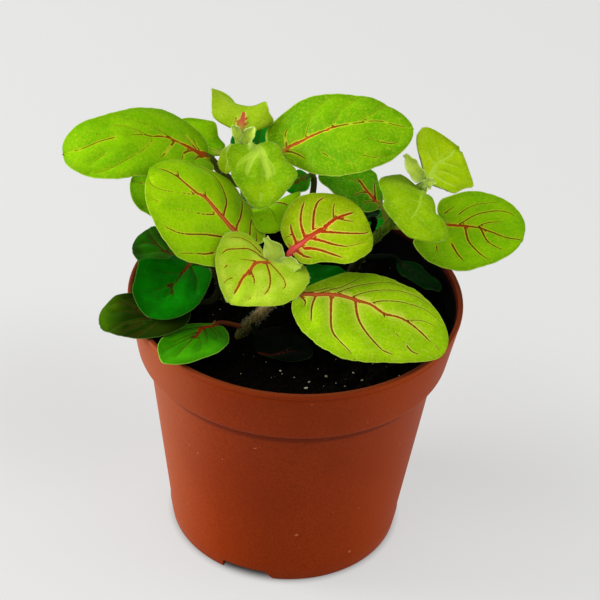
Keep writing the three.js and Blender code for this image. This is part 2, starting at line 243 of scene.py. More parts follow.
def piece(name, points, faces, material, slot, replaced=(), sharp=180):
    """A smooth mesh from points in millimetres, part of the object and in one body with the pot."""
    mesh = bpy.data.meshes.new(name)
    mesh.from_pydata((np.asarray(points, float) * MM).tolist(), [], [list(face) for face in faces])
    mesh.shade_smooth()
    if sharp < 180:
        mesh.set_sharp_from_angle(angle=math.radians(sharp))
    mesh.materials.append(material)
    made = bpy.data.objects.new(name, mesh)
    bpy.context.scene.collection.objects.link(made)
    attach(made, "root")
    if replaced:
        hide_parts(*replaced)
    return made


def rounded(outline):
    """An outline of (radius, height, rounding) with its corners eased into curves."""
    points = []
    for a, b, c in zip([outline[0], *outline], outline, [*outline[1:], outline[-1]]):
        before, corner, after = (np.array(p[:2], float) for p in (a, b, c))
        reach = [min(b[2], np.linalg.norm(p - corner) * 0.45) for p in (before, after)]
        if min(reach) <= 0:
            points.append(corner)
            continue
        start = corner + (before - corner) / np.linalg.norm(before - corner) * reach[0]
        end = corner + (after - corner) / np.linalg.norm(after - corner) * reach[1]
        for t in np.linspace(0, 1, 4):
            points.append((1 - t) ** 2 * start + 2 * t * (1 - t) * corner + t * t * end)
    return points


def ring_faces(rings, sides):
    """Quads between rings of points that follow each other."""
    faces = []
    for k in range(rings - 1):
        for i in range(sides):
            j = (i + 1) % sides
            faces.append((k * sides + i, k * sides + j, (k + 1) * sides + j, (k + 1) * sides + i))
    return faces


def lathe(outline, sides):
    """Points and faces of an outline that starts and ends on the axis, turned round it."""
    turns = np.arange(sides) * 2 * math.pi / sides
    inner = outline[1:-1]
    points = [(r * math.cos(a), r * math.sin(a), z) for r, z in inner for a in turns]
    faces = ring_faces(len(inner), sides)
    first, last = len(points), len(points) + 1
    points += [(0, 0, outline[0][1]), (0, 0, outline[-1][1])]
    end = (len(inner) - 1) * sides
    for i in range(sides):
        j = (i + 1) % sides
        faces.append((first, j, i))
        faces.append((last, end + i, end + j))
    return points, faces


def bumps(shader, strength, depth, height):
    """Gives a finish small bumps, up to a depth in metres."""
    sockets = {"Strength": strength, "Distance": depth, "Height": height}
    join(height.node("Bump", {}, sockets), shader["Normal"])


foot_outer = BASE_RADIUS - 0.5
foot_inner = foot_outer - FOOT_WIDTH
inner_body = BODY_TOP_RADIUS - WALL
groove = POT_HEIGHT - 1.5
flare = (BODY_TOP_RADIUS - BASE_RADIUS) / BAND_BOTTOM
seam = BASE_RADIUS + flare * MOULD_LINE
pot_outline = rounded([
    (0, FLOOR_BOTTOM, 0), (foot_inner - 0.5, FLOOR_BOTTOM, 0.4), (foot_inner, 0, 0.3),
    (foot_outer, 0, 0.3), (BASE_RADIUS, 0.7, 0.4),
    (seam + 0.05, MOULD_LINE, 0), (seam - 0.1, MOULD_LINE + 0.5, 0),
    (BODY_TOP_RADIUS, BAND_BOTTOM + 0.5, 0.5), (BAND_BOTTOM_RADIUS - 0.4, BAND_BOTTOM - 0.2, 0.5),
    (BAND_BOTTOM_RADIUS + 0.05, BAND_BOTTOM + 0.5, 0.7), (LIP_RADIUS - 0.3, groove - 0.8, 0.4),
    (LIP_RADIUS - 0.5, groove - 0.2, 0.2), (LIP_RADIUS, groove + 0.25, 0.3), (LIP_RADIUS, POT_HEIGHT, 0.5),
    (LIP_INNER_RADIUS, POT_HEIGHT, 0.5), (LIP_INNER_RADIUS - 0.5, POT_HEIGHT - 1, 0.5),
    (BAND_BOTTOM_RADIUS - WALL, BAND_BOTTOM + 1, 0.8), (inner_body, BAND_BOTTOM - 0.8, 0.8),
    (BASE_RADIUS - WALL, FLOOR_BOTTOM + WALL, 1.2), (0, FLOOR_BOTTOM + WALL, 0),
])
pot_finish, shader, place = finish("terracotta-coloured plastic", 0.5)
cloud = place.fleck(0.035, 3.0)
grain = place.fleck(1.6, 3.0, 0.6)
speck = place.fleck(0.55, 1.0).rise(0.78, 0.82)
height = place.axis("Z")
across = place.axis("X")
# Painted sheen: the pot's left side is painted paler and less red, as if it caught a soft reflection of
# the light on that side.
painted_sheen = (0.0 - across).rise(16, 38)
# Painted light: the pot's right side is painted a brighter red, as if more light fell on it.
lit = across.rise(10, 38)
lip_top = height.rise(POT_HEIGHT - 0.4, POT_HEIGHT - 0.1)
# Painted shade: a dark strip on the body just under the band, where the band's step shadows it.
band_shadow = height.rise(BAND_BOTTOM - 4.4, BAND_BOTTOM - 3.2)
band_shadow = band_shadow * (1 - height.rise(BAND_BOTTOM - 0.4, BAND_BOTTOM - 0.3))
tone = cloud.rise(0.3, 0.7).tint(TERRACOTTA, REDDER)
tone = (grain.rise(0.3, 0.75) * 0.7).tint(tone, DARK_GRAIN)
tone = (speck * 0.5).tint(tone, PALE_SPECK)
tone = (painted_sheen * 0.4).tint(tone, PAINTED_SHEEN_TONE)
tone = (lit * 0.6).tint(tone, LIT_SIDE)
tone = (band_shadow * 0.6).tint(tone, BAND_SHADOW_TONE)
tone = (lip_top * 0.8).tint(tone, LIP_TOP)
# The inside wall above the peat is darkened, partly by soil stuck to it and partly as painted shade inside
# the pot: near black low down, dark red-brown near the lip.
out = place.stretched((1.0, 1.0, 0.0)).length()
inner_face = BAND_BOTTOM_RADIUS - 0.6 + (height - BAND_BOTTOM) * BAND_SLOPE
inside = (inner_face - out).rise(0.0, 0.2) * height.rise(60, 62)
shade_and_soil = height.rise(POT_HEIGHT - 2.4, POT_HEIGHT - 0.3) + (grain - 0.5) * 0.3
tone = (inside * (1 - lip_top)).tint(tone, shade_and_soil.rise(0.0, 0.9).tint(INSIDE_SHADE_AND_SOIL_LOW, INSIDE_SHADE_AND_SOIL_HIGH))
join(tone, shader["Base Color"])
join(grain * 0.12 + 0.40, shader["Roughness"])
shader["Specular IOR Level"].default_value = 0.04
bumps(shader, 0.25, 0.0002, grain + cloud)
pot = piece("nursery_pot", *lathe(pot_outline, POT_SIDES), pot_finish, "pot", ["pot"], sharp=SHARP)


def cut(target, name, tools):
    """Cuts closed tool shapes, each (points, faces) in millimetres, out of a piece."""
    points, faces = [], []
    for tool_points, tool_faces in tools:
        faces += [[len(points) + i for i in face] for face in tool_faces]
        points += [tuple(p) for p in tool_points]
    mesh = bpy.data.meshes.new(name)
    mesh.from_pydata((np.array(points) * MM).tolist(), [], faces)
    tool = bpy.data.objects.new(name, mesh)
    bpy.context.scene.collection.objects.link(tool)
    step = target.modifiers.new(name, "BOOLEAN")
    step.object, step.operation, step.solver = tool, "DIFFERENCE", "EXACT"
    bpy.context.view_layer.update()
    after = bpy.data.meshes.new_from_object(target.evaluated_get(bpy.context.evaluated_depsgraph_get()))
    after.set_sharp_from_angle(angle=math.radians(SHARP))
    target.modifiers.clear()
    target.data = after
    bpy.data.objects.remove(tool)


def turned(x, y, turn):
    """A point turned about the pot's axis, by degrees."""
    a = math.radians(turn)
    return x * math.cos(a) - y * math.sin(a), x * math.sin(a) + y * math.cos(a)


def prism(first, last):
    """Points and faces of the closed shape between two outlines with as many points."""
    n = len(first)
    sides = [[i, (i + 1) % n, n + (i + 1) % n, n + i] for i in range(n)]
    return [*first, *last], [list(range(n))[::-1], list(range(n, 2 * n)), *sides]


def post(center, turn, outline, low, high):
    """An upright post on an outline of (out, sideways) points round a centre away from the axis."""
    spots = [turned(center + x, y, turn) for x, y in outline]
    return prism([(*spot, low) for spot in spots], [(*spot, high) for spot in spots])


def block(turn, near, far, outline):
    """An upright outline of (sideways, height) points, drawn outward from one radius to another."""
    return prism(*([(*turned(r, y, turn), z) for y, z in outline] for r in (near, far)))


notch = [(-6.8, -1), (8, -1), (7.8, 0.3), (6.8, 1.5), (5.9, 2.6), (5.2, 3), (-6.2, 3), (-6.8, 2.6)]
drain = [(DRAIN_RADIUS * math.cos(t), DRAIN_RADIUS * math.sin(t)) for t in np.arange(24) * math.pi / 12]
cuts = [block(turn, foot_inner - 1, BASE_RADIUS + 2, notch) for turn in NOTCH_ANGLES]
hole_floor, hole_top = FLOOR_BOTTOM - 2.2, FLOOR_BOTTOM + 1.8
hole_turns = [360 / DRAIN_HOLES * (k + 0.5) for k in range(DRAIN_HOLES)]
cuts += [post(DRAIN_CIRCLE, turn, drain, hole_floor, hole_top) for turn in hole_turns]
cut(pot, "notches and drain holes", cuts)


# Soil
# Moist dark peat fills the pot to 9 mm below the lip. Its top is crumbly, with loose crumbs, fine pale
# grit, and some yellowish grains of perlite between the stems.
SOIL_LEVEL = 66
SOIL_GRID = 0.75
SOIL_SIDES = 260
CRUMBS = 1700
GRIT = 90
GRAINS = [(-5.1, -25.2, 0.22), (-4.2, -25.3, 0.17), (-2.9, -22.6, 0.47), (4.9, -27.6, 0.35),
          (4.2, -30.5, 0.55), (9.2, -23.8, 0.58), (7, -21.8, 0.2), (8.7, -27.7, 0.2),
          (11.8, -27.4, 0.23), (16.3, -22.8, 0.39), (18.7, -24.7, 0.43), (18.4, -28.7, 0.35),
          (21.4, -18.3, 0.23), (28.5, -20.6, 0.43), (-16.5, -15.3, 0.35), (-12.9, -16.5, 0.2),
          (-21.9, -0.8, 0.23)]
dice = np.random.default_rng(7)


def soil_height(x, y):
    """The peat's top: the broad lumps of the solid, with finer ones on them."""
    lumps = math.sin(0.31 * x + 1) * math.cos(0.27 * y) + 0.6 * math.sin(0.83 * x - 0.6 * y)
    fine = noise.noise(Vector((x, y, 0)) * 0.45) * 1.1 + noise.noise(Vector((x, y, 9)) * 1.1) * 0.7
    return SOIL_LEVEL + 0.6 * lumps + fine


soil_rim = BAND_BOTTOM_RADIUS - WALL - 0.3 + BAND_SLOPE * (SOIL_LEVEL - BAND_BOTTOM)
soil_floor = FLOOR_BOTTOM + WALL + 0.3
soil_outline = [
    (0, soil_floor), (BASE_RADIUS - WALL - 0.6, soil_floor), (inner_body - 0.5, BAND_BOTTOM - 1),
    (BAND_BOTTOM_RADIUS - WALL - 0.6, BAND_BOTTOM + 2),
    *((r, SOIL_LEVEL) for r in np.arange(soil_rim, 0, -SOIL_GRID)), (0, SOIL_LEVEL),
]
soil_points, soil_faces = lathe(soil_outline, SOIL_SIDES)
soil_points = [(x, y, soil_height(x, y) if z == SOIL_LEVEL else z) for x, y, z in soil_points]
peat, shader, place = finish("moist peat", 0.95)
clod = place.fleck(1.2, 4.0, 0.65)
join(clod.rise(0.35, 0.8).tint(paint(2, 2, 2), paint(20, 14, 9)), shader["Base Color"])
bumps(shader, 0.8, 0.0006, clod)
shader["Specular IOR Level"].default_value = 0.02
piece("peat", soil_points, soil_faces, peat, "soil", ["soil"])


def crumbs(name, spots, material, sizes):
    """Small uneven lumps, each an icosphere pushed about at random, in one piece."""
    ball = bmesh.new()
    bmesh.ops.create_icosphere(ball, subdivisions=1, radius=1)
    shape = np.array([corner.co for corner in ball.verts])
    sides = [[corner.index for corner in side.verts] for side in ball.faces]
    ball.free()
    points, faces = [], []
    for spot, size in zip(spots, sizes):
        turn = np.linalg.qr(dice.normal(size=(3, 3)))[0]
        turn *= np.sign(np.linalg.det(turn))
        lump = shape * dice.uniform(0.65, 1.25, (len(shape), 1))
        lump = lump * dice.uniform((0.6, 0.6, 0.5), (1.3, 1.0, 0.9))
        lump = lump @ turn.T * size * (1, 1, 0.75)
        faces += [[len(points) + i for i in side] for side in sides]
        points += [tuple(spot + p) for p in lump]
    piece(name, points, faces, material, "soil")


def scattered(count, low, high, sink):
    """Random places on the peat between two distances from the pot's axis."""
    away = np.sqrt(dice.uniform(low ** 2, high ** 2, count))
    turns = dice.uniform(0, 2 * math.pi, count)
    spots = [(r * math.cos(t), r * math.sin(t)) for r, t in zip(away, turns)]
    return np.array([(x, y, soil_height(x, y) - sink) for x, y in spots])


crumbs("peat_crumbs", scattered(CRUMBS, 0, soil_rim - 0.6, 0.1), peat, dice.uniform(0.25, 0.95, CRUMBS))
perlite, shader, place = finish("perlite", 0.9)
mottling = place.fleck(0.9).rise(0.35, 0.65)
join(mottling.tint(paint(186, 186, 150), paint(130, 118, 50)), shader["Base Color"])
crumbs("fine_grit", scattered(GRIT, 4, soil_rim - 1, -0.1), perlite, dice.uniform(0.1, 0.26, GRIT))
spots = np.array([(x, y, soil_height(x, y) + 0.4 * size) for x, y, size in GRAINS])
crumbs("perlite_grains", spots, perlite, [size for x, y, size in GRAINS])


# Stems
# Five soft green stems stand in the peat: three leafy shoots and two short ones. Each is a little swollen
# at the joints its leaves grow from, darker low down as painted shade under the leaves, and covered in
# fine pale hairs.
STEMS = {
    "top": dict(radius=1.6, joints=(0.36, 0.66, 0.81, 0.97), hairs=200, course=[
        (-10, 15, 57), (-11, 15, 68), (-14, 13, 85), (-15, 12.5, 100), (-15.5, 12, 112)]),
    "front": dict(radius=1.6, joints=(0.32, 0.82, 0.95), hairs=560, course=[
        (-16, -8, 58), (-13.5, -8, 67), (-6.5, -10, 78.5), (-4, -12, 87), (-4, -12, 91)]),
    "right": dict(radius=1.35, joints=(0.35, 0.56, 0.71, 0.97), hairs=70, course=[
        (13, 20, 58), (14.5, 19, 68), (18.5, 15, 81), (24.5, 8.5, 94), (30.5, 3, 106)]),
    "left": dict(radius=1.4, joints=(0.6, 0.93), hairs=100, course=[
        (-18, 8, 58), (-19, 7, 68), (-21.5, 5.5, 76), (-23, 5, 81)]),
    "back": dict(radius=1.0, joints=(0.42, 0.95), hairs=100, course=[
        (2, 22, 58), (3, 22, 68), (4, 21.5, 80), (3, 21, 92)]),
}
ROD_SIDES = 14


def unit(vectors):
    """Vectors in the same directions, each of length 1."""
    vectors = np.asarray(vectors, float)
    return vectors / np.linalg.norm(vectors, axis=-1, keepdims=True)


def through(stations, where):
    """A smooth curve through evenly spaced stations, read at places from 0 to 1."""
    s = np.array(stations, float)
    s = np.array([2 * s[0] - s[1], *s, 2 * s[-1] - s[-2]])
    step = np.clip(np.asarray(where, float), 0, 1) * (len(stations) - 1)
    first = np.minimum(step.astype(int), len(stations) - 2)
    t = step - first
    if s.ndim == 2:
        t = t[..., None]
    a, b, c, d = (s[first + k] for k in range(4))
    bend, twist = 2 * a - 5 * b + 4 * c - d, 3 * b - a - 3 * c + d
    return (2 * b + (c - a) * t + bend * t ** 2 + twist * t ** 3) / 2


def stem_line(name, count=121):
    """Evenly spaced points up the middle of a stem, and its direction at each."""
    fine = through(STEMS[name]["course"], np.linspace(0, 1, 600))
    walked = np.concatenate([[0], np.cumsum(np.linalg.norm(np.diff(fine, axis=0), axis=1))])
    even = np.linspace(0, walked[-1], count)
    line = np.stack([np.interp(even, walked, fine[:, k]) for k in range(3)], axis=1)
    return line, unit(np.gradient(line, axis=0))


def slim_radius(name, along):
    """A stem's radius between its joints, less toward its tip."""
    return STEMS[name]["radius"] * (1.05 - 0.2 * along)


def stem_radius(name, along):
    """A stem's radius, swollen at its joints."""
    swelling = sum(0.28 * np.exp(-((along - joint) / 0.035) ** 2) for joint in STEMS[name]["joints"])
    return slim_radius(name, along) + swelling


def rod(line, radii):
    """Points and faces of a closed round rod with domed ends."""
    ways = unit(np.gradient(line, axis=0))
    across = unit(np.cross(ways, (0.3, 1, 0.1)))
    over = np.cross(ways, across)
    turns = np.arange(ROD_SIDES) * 2 * math.pi / ROD_SIDES
    rings = [c + r * (np.outer(np.cos(turns), a) + np.outer(np.sin(turns), o))
             for c, r, a, o in zip(line, radii, across, over)]
    faces = ring_faces(len(rings), ROD_SIDES)
    ends = [line[0] - ways[0] * radii[0], line[-1] + ways[-1] * radii[-1]]
    points = np.concatenate([*rings, ends])
    first, last, end = len(points) - 2, len(points) - 1, (len(rings) - 1) * ROD_SIDES
    for i in range(ROD_SIDES):
        j = (i + 1) % ROD_SIDES
        faces += [(first, j, i), (last, end + i, end + j)]
    return points, faces


def hairs(name, roots, ways, lengths, slot, thickness):
    """Fine tapered hairs, each a three-sided spike, in one piece."""
    side = unit(np.cross(ways, unit(dice.normal(size=ways.shape))))
    other = np.cross(ways, side)
    spikes = [roots + thickness * (math.cos(a) * side + math.sin(a) * other) for a in (0, 2.1, 4.2)]
    points = np.stack([*spikes, roots + unit(ways) * np.asarray(lengths)[:, None]], axis=1).reshape(-1, 3)
    faces = []
    for k in range(0, len(points), 4):
        faces += [(k, k + 1, k + 3), (k + 1, k + 2, k + 3), (k + 2, k, k + 3), (k + 2, k + 1, k)]
    piece(name, points, faces, down, slot)


def stem_finish(name, low, high, dark, turns=(72, 92)):
    """Skin that turns from a dark tone low down, painted shade, to another higher up, with fine darker
    streaks.
    """
    made, shader, place = finish(name, 0.6)
    streak = place.stretched((1.0, 1.0, 0.12)).fleck(1.5, 3.0)
    tone = place.axis("Z").rise(*turns).tint(paint(*low), paint(*high))
    tone = (streak.rise(0.35, 0.7) * 0.7).tint(tone, paint(*dark))
    join(tone, shader["Base Color"])
    bumps(shader, 0.5, 0.0002, streak)
    shader["Specular IOR Level"].default_value = 0.1
    return made


# The upper tones of the brown front stem and the pale back stem are painted lighter than the stems' own
# colour, as painted light where the leaves above shade them.
stem_skin = stem_finish("green stem skin", (16, 18, 6), (90, 122, 12), (44, 48, 8))
brown_skin = stem_finish("brown stem skin", (70, 76, 22), (172, 142, 96), (74, 48, 28), (68, 84))
pale_lit_skin = stem_finish("pale stem skin", (16, 18, 6), (150, 190, 60), (90, 120, 30))
down, shader, place = finish("plant down", 0.5)
shader["Base Color"].default_value = paint(190, 196, 160)

for stem in STEMS:
    line, ways = stem_line(stem)
    along = np.linspace(0, 1, len(line))
    radii = stem_radius(stem, along)
    skin = {"front": brown_skin, "back": pale_lit_skin}.get(stem, stem_skin)
    piece(f"{stem}_stem_skin", *rod(line, radii), skin, "stem", [f"{stem}_stem"])
    pick = dice.integers(30, len(line) - 2, STEMS[stem]["hairs"])
    turns = dice.uniform(0, 2 * math.pi, len(pick))[:, None]
    side = unit(np.cross(ways[pick], (0.3, 1, 0.1)))
    out = np.cos(turns) * side + np.sin(turns) * np.cross(ways[pick], side)
    roots = line[pick] + out * (radii[pick] - 0.04)[:, None]
    lean = unit(out + 0.35 * ways[pick] + dice.normal(0, 0.25, out.shape))
    hairs(f"{stem}_stem_hairs", roots, lean, dice.uniform(0.4, 1.2, len(pick)), "stem", 0.04)


# Leaves of the top shoot
# Each leaf on the plant is one thin blade that grows out of a round petiole, with coloured veins in
# shallow grooves. Most of these nine are lime green, and the youngest have soft pale veins.
BLADE = 0.36
PETIOLE = 0.85
PETIOLE_SUNK = 0.15
PETIOLE_STEPS = 11
MESH_STEP = 0.45
GROOVE, GROOVE_REACH = 0.2, 0.7
SWELL, SWELL_REACH = 0.5, 2.4
SCALLOP = 0.012
HAIR_RADIUS = 0.035
NO_VEIN = 9.0


def vein_lines(veins, flat):
    """For each vein, points along it on the flattened blade and its half width at each, in millimetres."""
    lines = []
    t = np.linspace(0, 1, 26)
    fade = np.minimum(1, (1 - t) / 0.1)
    for thick, *stations in veins:
        spots = through(stations, t)
        x, y = flat(spots[:, 0], spots[:, 1])
        lines.append((np.stack([x, y], axis=1), thick * (0.48 - 0.25 * t) * fade))
    return lines


def nearest_vein(spots, lines):
    """Each spot's signed and plain distance to its nearest vein, and that vein's half width there."""
    best = np.full(len(spots), 99.0)
    side, gap, half = np.full(len(spots), NO_VEIN), np.full(len(spots), NO_VEIN), np.zeros(len(spots))
    rows = np.arange(len(spots))
    for line, widths in lines:
        start, run = line[:-1], np.diff(line, axis=0)
        run_length = np.maximum((run ** 2).sum(axis=1), 1e-9)
        away = spots[:, None] - start[None]
        share = np.clip((away * run).sum(axis=2) / run_length, 0, 1)
        off = away - share[..., None] * run
        distance = np.linalg.norm(off, axis=2)
        k = distance.argmin(axis=1)
        distance, share = distance[rows, k], share[rows, k]
        width = widths[k] * (1 - share) + widths[k + 1] * share
        turn = run[k, 0] * away[rows, k, 1] - run[k, 1] * away[rows, k, 0]
        score = distance - width
        closer = score < best
        best = np.where(closer, score, best)
        side = np.where(closer, np.sign(turn) * distance, side)
        gap = np.where(closer, distance, gap)
        half = np.where(closer, width, half)
    return side, gap, half


def two_sided(value, across):
    """A value for the whole leaf, or a pair for the left and the right of its midrib."""
    return np.where(across < 0, *np.broadcast_to(value, 2))


def petiole_start(stem, at, base):
    """Where a petiole leaves its stem for the blade's base, a little under the skin, and its way out."""
    line, ways = stem_line(stem, 501)
    k = round(at * 500)
    outward = base - line[k]
    outward = unit(outward - outward @ ways[k] * ways[k])
    return line[k] + outward * (slim_radius(stem, at) - PETIOLE_SUNK), outward


def petiole_bow(start, outward, root, heading):
    """Points along a petiole that leaves the stem outward and bows into the blade, and its way at each."""
    reach = 0.4 * np.linalg.norm(root - start)
    t = np.linspace(0, 1, PETIOLE_STEPS + 1)[:-1, None]
    pulls = (start, start + outward * reach, root - heading * reach, root)
    shares = ((1 - t) ** 3, 3 * t * (1 - t) ** 2, 3 * t * t * (1 - t), t ** 3)
    stalk = sum(share * pull for share, pull in zip(shares, pulls))
    return stalk, unit(np.gradient(np.concatenate([stalk, [root]]), axis=0))[:-1]


def petiole_rings(stalk, ways, sides, across, radius):
    """An upper and a lower row of points round each place on a petiole, which flares at the stem."""
    t = np.linspace(0, 1, PETIOLE_STEPS + 1)[:-1]
    flared = (1 + 0.25 * np.exp(-(t / 0.12) ** 2)) * radius
    sideways = np.outer(flared, across)[..., None] * sides[:, None]
    upward = np.outer(flared, np.sqrt(np.clip(1 - across ** 2, 0.09, 1)))[..., None]
    upward = upward * np.cross(ways, sides)[:, None]
    middle = stalk[:, None] - sideways
    return np.concatenate([middle + upward, middle - upward], axis=1)


def leaf_faces(count, columns):
    """Faces round the rings of a leaf, each an upper and a lower row, and round its tip's two points."""
    ring, faces = 2 * columns, []
    for k in range(count - 1):
        a, b = k * ring, (k + 1) * ring
        faces += [(a + i, a + i + 1, b + i + 1, b + i) for i in range(columns - 1)]
        faces += [(a + i + 1, a + i, b + i, b + i + 1) for i in range(columns, ring - 1)]
        faces.append((a + columns, a, b, b + columns))
        faces.append((a + columns - 1, a + ring - 1, b + ring - 1, b + columns - 1))
    last, tip = (count - 1) * ring, count * ring
    for i in range(columns - 1):
        faces.append((last + i, last + i + 1, tip))
        faces.append((last + columns + i + 1, last + columns + i, tip + 1))
        faces.append((i + 1, i, columns + i, columns + i + 1))
    faces.append((last + columns, last, tip, tip + 1))
    faces.append((last + columns - 1, last + ring - 1, tip + 1, tip))
    return faces


def note(made, name, values):
    """Stores a value at each point of a leaf's mesh, for its material to read."""
    store = made.data.attributes.new(name, "FLOAT", "POINT")
    store.data.foreach_set("value", np.asarray(values, np.float32))


def edge_hairs(name, slot, count, center):
    """Fine hairs that stand out from a blade's two edges."""
    midrib = center[:, center.shape[1] // 2]
    edges = np.concatenate([center[:, 0], center[:, -1]])
    out = unit(edges - np.concatenate([midrib, midrib]) + 1e-6)
    pick = dice.integers(0, len(edges), count)
    lean = unit(out[pick] + dice.normal(0, 0.35, (count, 3)))
    roots = edges[pick] + dice.normal(0, 0.12, (count, 3)) - 0.1 * out[pick]
    hairs(f"{name}_edge_hairs", roots, lean, dice.uniform(0.3, 0.8, count), slot, HAIR_RADIUS)


def petiole_hairs(name, slot, count, stalk, ways, sides, radius):
    """Fine hairs that stand out all round a petiole."""
    pick = dice.integers(0, len(stalk), count)
    turn = dice.uniform(0, 2 * math.pi, (count, 1))
    out = np.cos(turn) * sides[pick] + np.sin(turn) * np.cross(ways, sides)[pick]
    roots = stalk[pick] + dice.uniform(0, 1, (count, 1)) * (stalk[1] - stalk[0]) + out * radius * 0.9
    lean = unit(out + ways[pick] * 0.3)
    hairs(f"{name}_petiole_hairs", roots, lean, dice.uniform(0.3, 0.8, count), slot, HAIR_RADIUS)


def leaf(name, stem, at, base, tip, width, look, veins, roll=0, arch=0, bend=0, cup=0, heart=0, curl=0,
         full=0.15, left_edge=(1, 1), right_edge=(1, 1), scallop=SCALLOP, hairy=0, node=None, start=None,
         petiole=PETIOLE):
    """
    One leaf. Its petiole leaves a stem at a share of the stem's length, and its blade runs from base to
    tip. It is rolled by degrees about that line, arched upward and bent sideways by millimetres. Its
    edges are cupped up or down, its tip curled, and its lobes drawn back beside the petiole, on both
    sides alike or by a pair for left and right. The two edges' factors go from base to tip.
    """
    base, tip = np.array(base, float), np.array(tip, float)
    length = np.linalg.norm(tip - base)
    axis = (tip - base) / length
    level = unit(np.cross((0, 0, 1), axis))
    left = level * math.cos(math.radians(roll)) + np.cross(axis, level) * math.sin(math.radians(roll))
    lift = np.cross(axis, left)

    def half_width(along, across):
        bulge = np.sqrt(np.clip(4 * along * (1 - along), 0, 1)) * (1 + full * (1 - 2 * along))
        shape = np.where(across < 0, through(left_edge, along), through(right_edge, along))
        wave = 0.6 * np.sin(0.9 * along * length + width)
        wave = wave + 0.4 * np.sin(2.3 * along * length + across + width)
        return bulge * shape * (1 + scallop * across ** 6 * wave) * width / 2

    def flat(along, across):
        """A place on the blade as millimetres along and across it, as if it were pressed flat."""
        half = half_width(along, across)
        lobe = two_sided(heart, across) * across ** 2 * (1 - along) ** 4
        lobe = lobe * np.clip(half / (0.3 * width), 0, 1)
        return along * length - lobe, across * half

    def middle(along, across):
        """The blade's middle surface."""
        x, y = flat(along, across)
        hump = 4 * along * (1 - along)
        edge = across ** 2
        ripple = 0.4 * edge * np.sin(11 * along + 2 * across + width) * np.sqrt(np.clip(hump, 0, 1))
        fold = two_sided(cup, across) * (1 + full * (1 - 2 * along)) + two_sided(curl, across) * along ** 2
        rise = arch * hump + fold * edge * np.sqrt(np.clip(hump, 0, 1)) + ripple
        return base + x[..., None] * axis + rise[..., None] * lift + (bend * hump - y)[..., None] * left

    columns = max(13, int(width / MESH_STEP)) | 1
    rows = max(14, int(length / MESH_STEP))
    across = np.sin(np.linspace(-1, 1, columns) * 1.3) / math.sin(1.3)
    first = (petiole / width) ** 2
    along = first + (1 - first) * (1 - np.cos(math.pi * np.arange(rows) / rows)) / 2
    grid_along, grid_across = np.meshgrid(along, across, indexing="ij")
    x, y = flat(grid_along, grid_across)
    spots = np.stack([x.ravel(), y.ravel()], axis=1)
    side, gap, half = (field.reshape(x.shape) for field in nearest_vein(spots, vein_lines(veins, flat)))
    center = middle(grid_along, grid_across)
    nudge = 0.004
    onward = middle(np.clip(grid_along + nudge, 0, 1), grid_across)
    backward = middle(np.clip(grid_along - nudge, 0, 1), grid_across)
    crossways = middle(grid_along, grid_across + nudge) - middle(grid_along, grid_across - nudge)
    normal = unit(np.cross(crossways, onward - backward))
    quilt = -GROOVE * np.exp(-(gap / GROOVE_REACH) ** 2) - SWELL * np.exp(-(gap / SWELL_REACH) ** 2)
    thick = BLADE / 2 * np.sqrt(np.clip(1 - np.abs(grid_across) ** 10, 0.12, 1))
    travelled = np.clip(x - x[0].mean(), 0, None)
    round_part = np.sqrt(np.clip(1 - (y / petiole) ** 2, 0, 1)) * (petiole - BLADE / 2)
    above = round_part * np.exp(-(travelled / 1.6) ** 2)
    below = round_part * (1 - grid_along) ** 1.3
    ribs = 0.6 * half * np.exp(-(gap / (half + 0.25)) ** 2)
    upper = center + normal * (quilt + thick + above)[..., None]
    lower = center + normal * (quilt - thick - below - ribs)[..., None]

    start, outward = start or petiole_start(stem, at, base)
    root = center[0, columns // 2]
    stalk, ways = petiole_bow(start, outward, root, unit(center[2, columns // 2] - root))
    sides = unit(left - (ways @ left)[:, None] * ways)
    rings = petiole_rings(stalk, ways, sides, across, petiole)
    stack = np.concatenate([rings, np.concatenate([upper, lower], axis=1)])
    end = middle(np.array([1.0]), np.array([0.0]))[0]
    points = np.concatenate([stack.reshape(-1, 3), [end + 0.1 * lift], [end - 0.1 * lift]])
    material, slot = look
    made = piece(f"{name}_blade", points, leaf_faces(len(stack), columns), material, slot, [node or name])

    rim = half_width(grid_along, grid_across) * (1 - np.abs(grid_across))
    near_root = np.exp(-(travelled / 1.2) ** 2) * np.exp(-(y / 1.2) ** 2)
    fields = {"vein_side": (NO_VEIN, side), "vein_gap": (NO_VEIN, gap), "vein_half": (0.0, half)}
    fields |= {"blade_rim": (NO_VEIN, rim), "petiole": (1.0, near_root)}
    for field, (on_petiole, on_blade) in fields.items():
        on_rings = np.full((PETIOLE_STEPS, 2 * columns), on_petiole)
        values = np.concatenate([on_rings, np.tile(on_blade, 2)]).ravel()
        note(made, field, [*values, values[-1], values[-1]])
    note(made, "face_up", ([1] * columns + [0] * columns) * len(stack) + [1, 0])
    if hairy:
        edge_hairs(name, slot, hairy, center)
        petiole_hairs(name, slot, hairy // 2, stalk, ways, sides, petiole)


RED_VEIN, BROWN_VEIN = (142, 62, 4), (90, 60, 0)


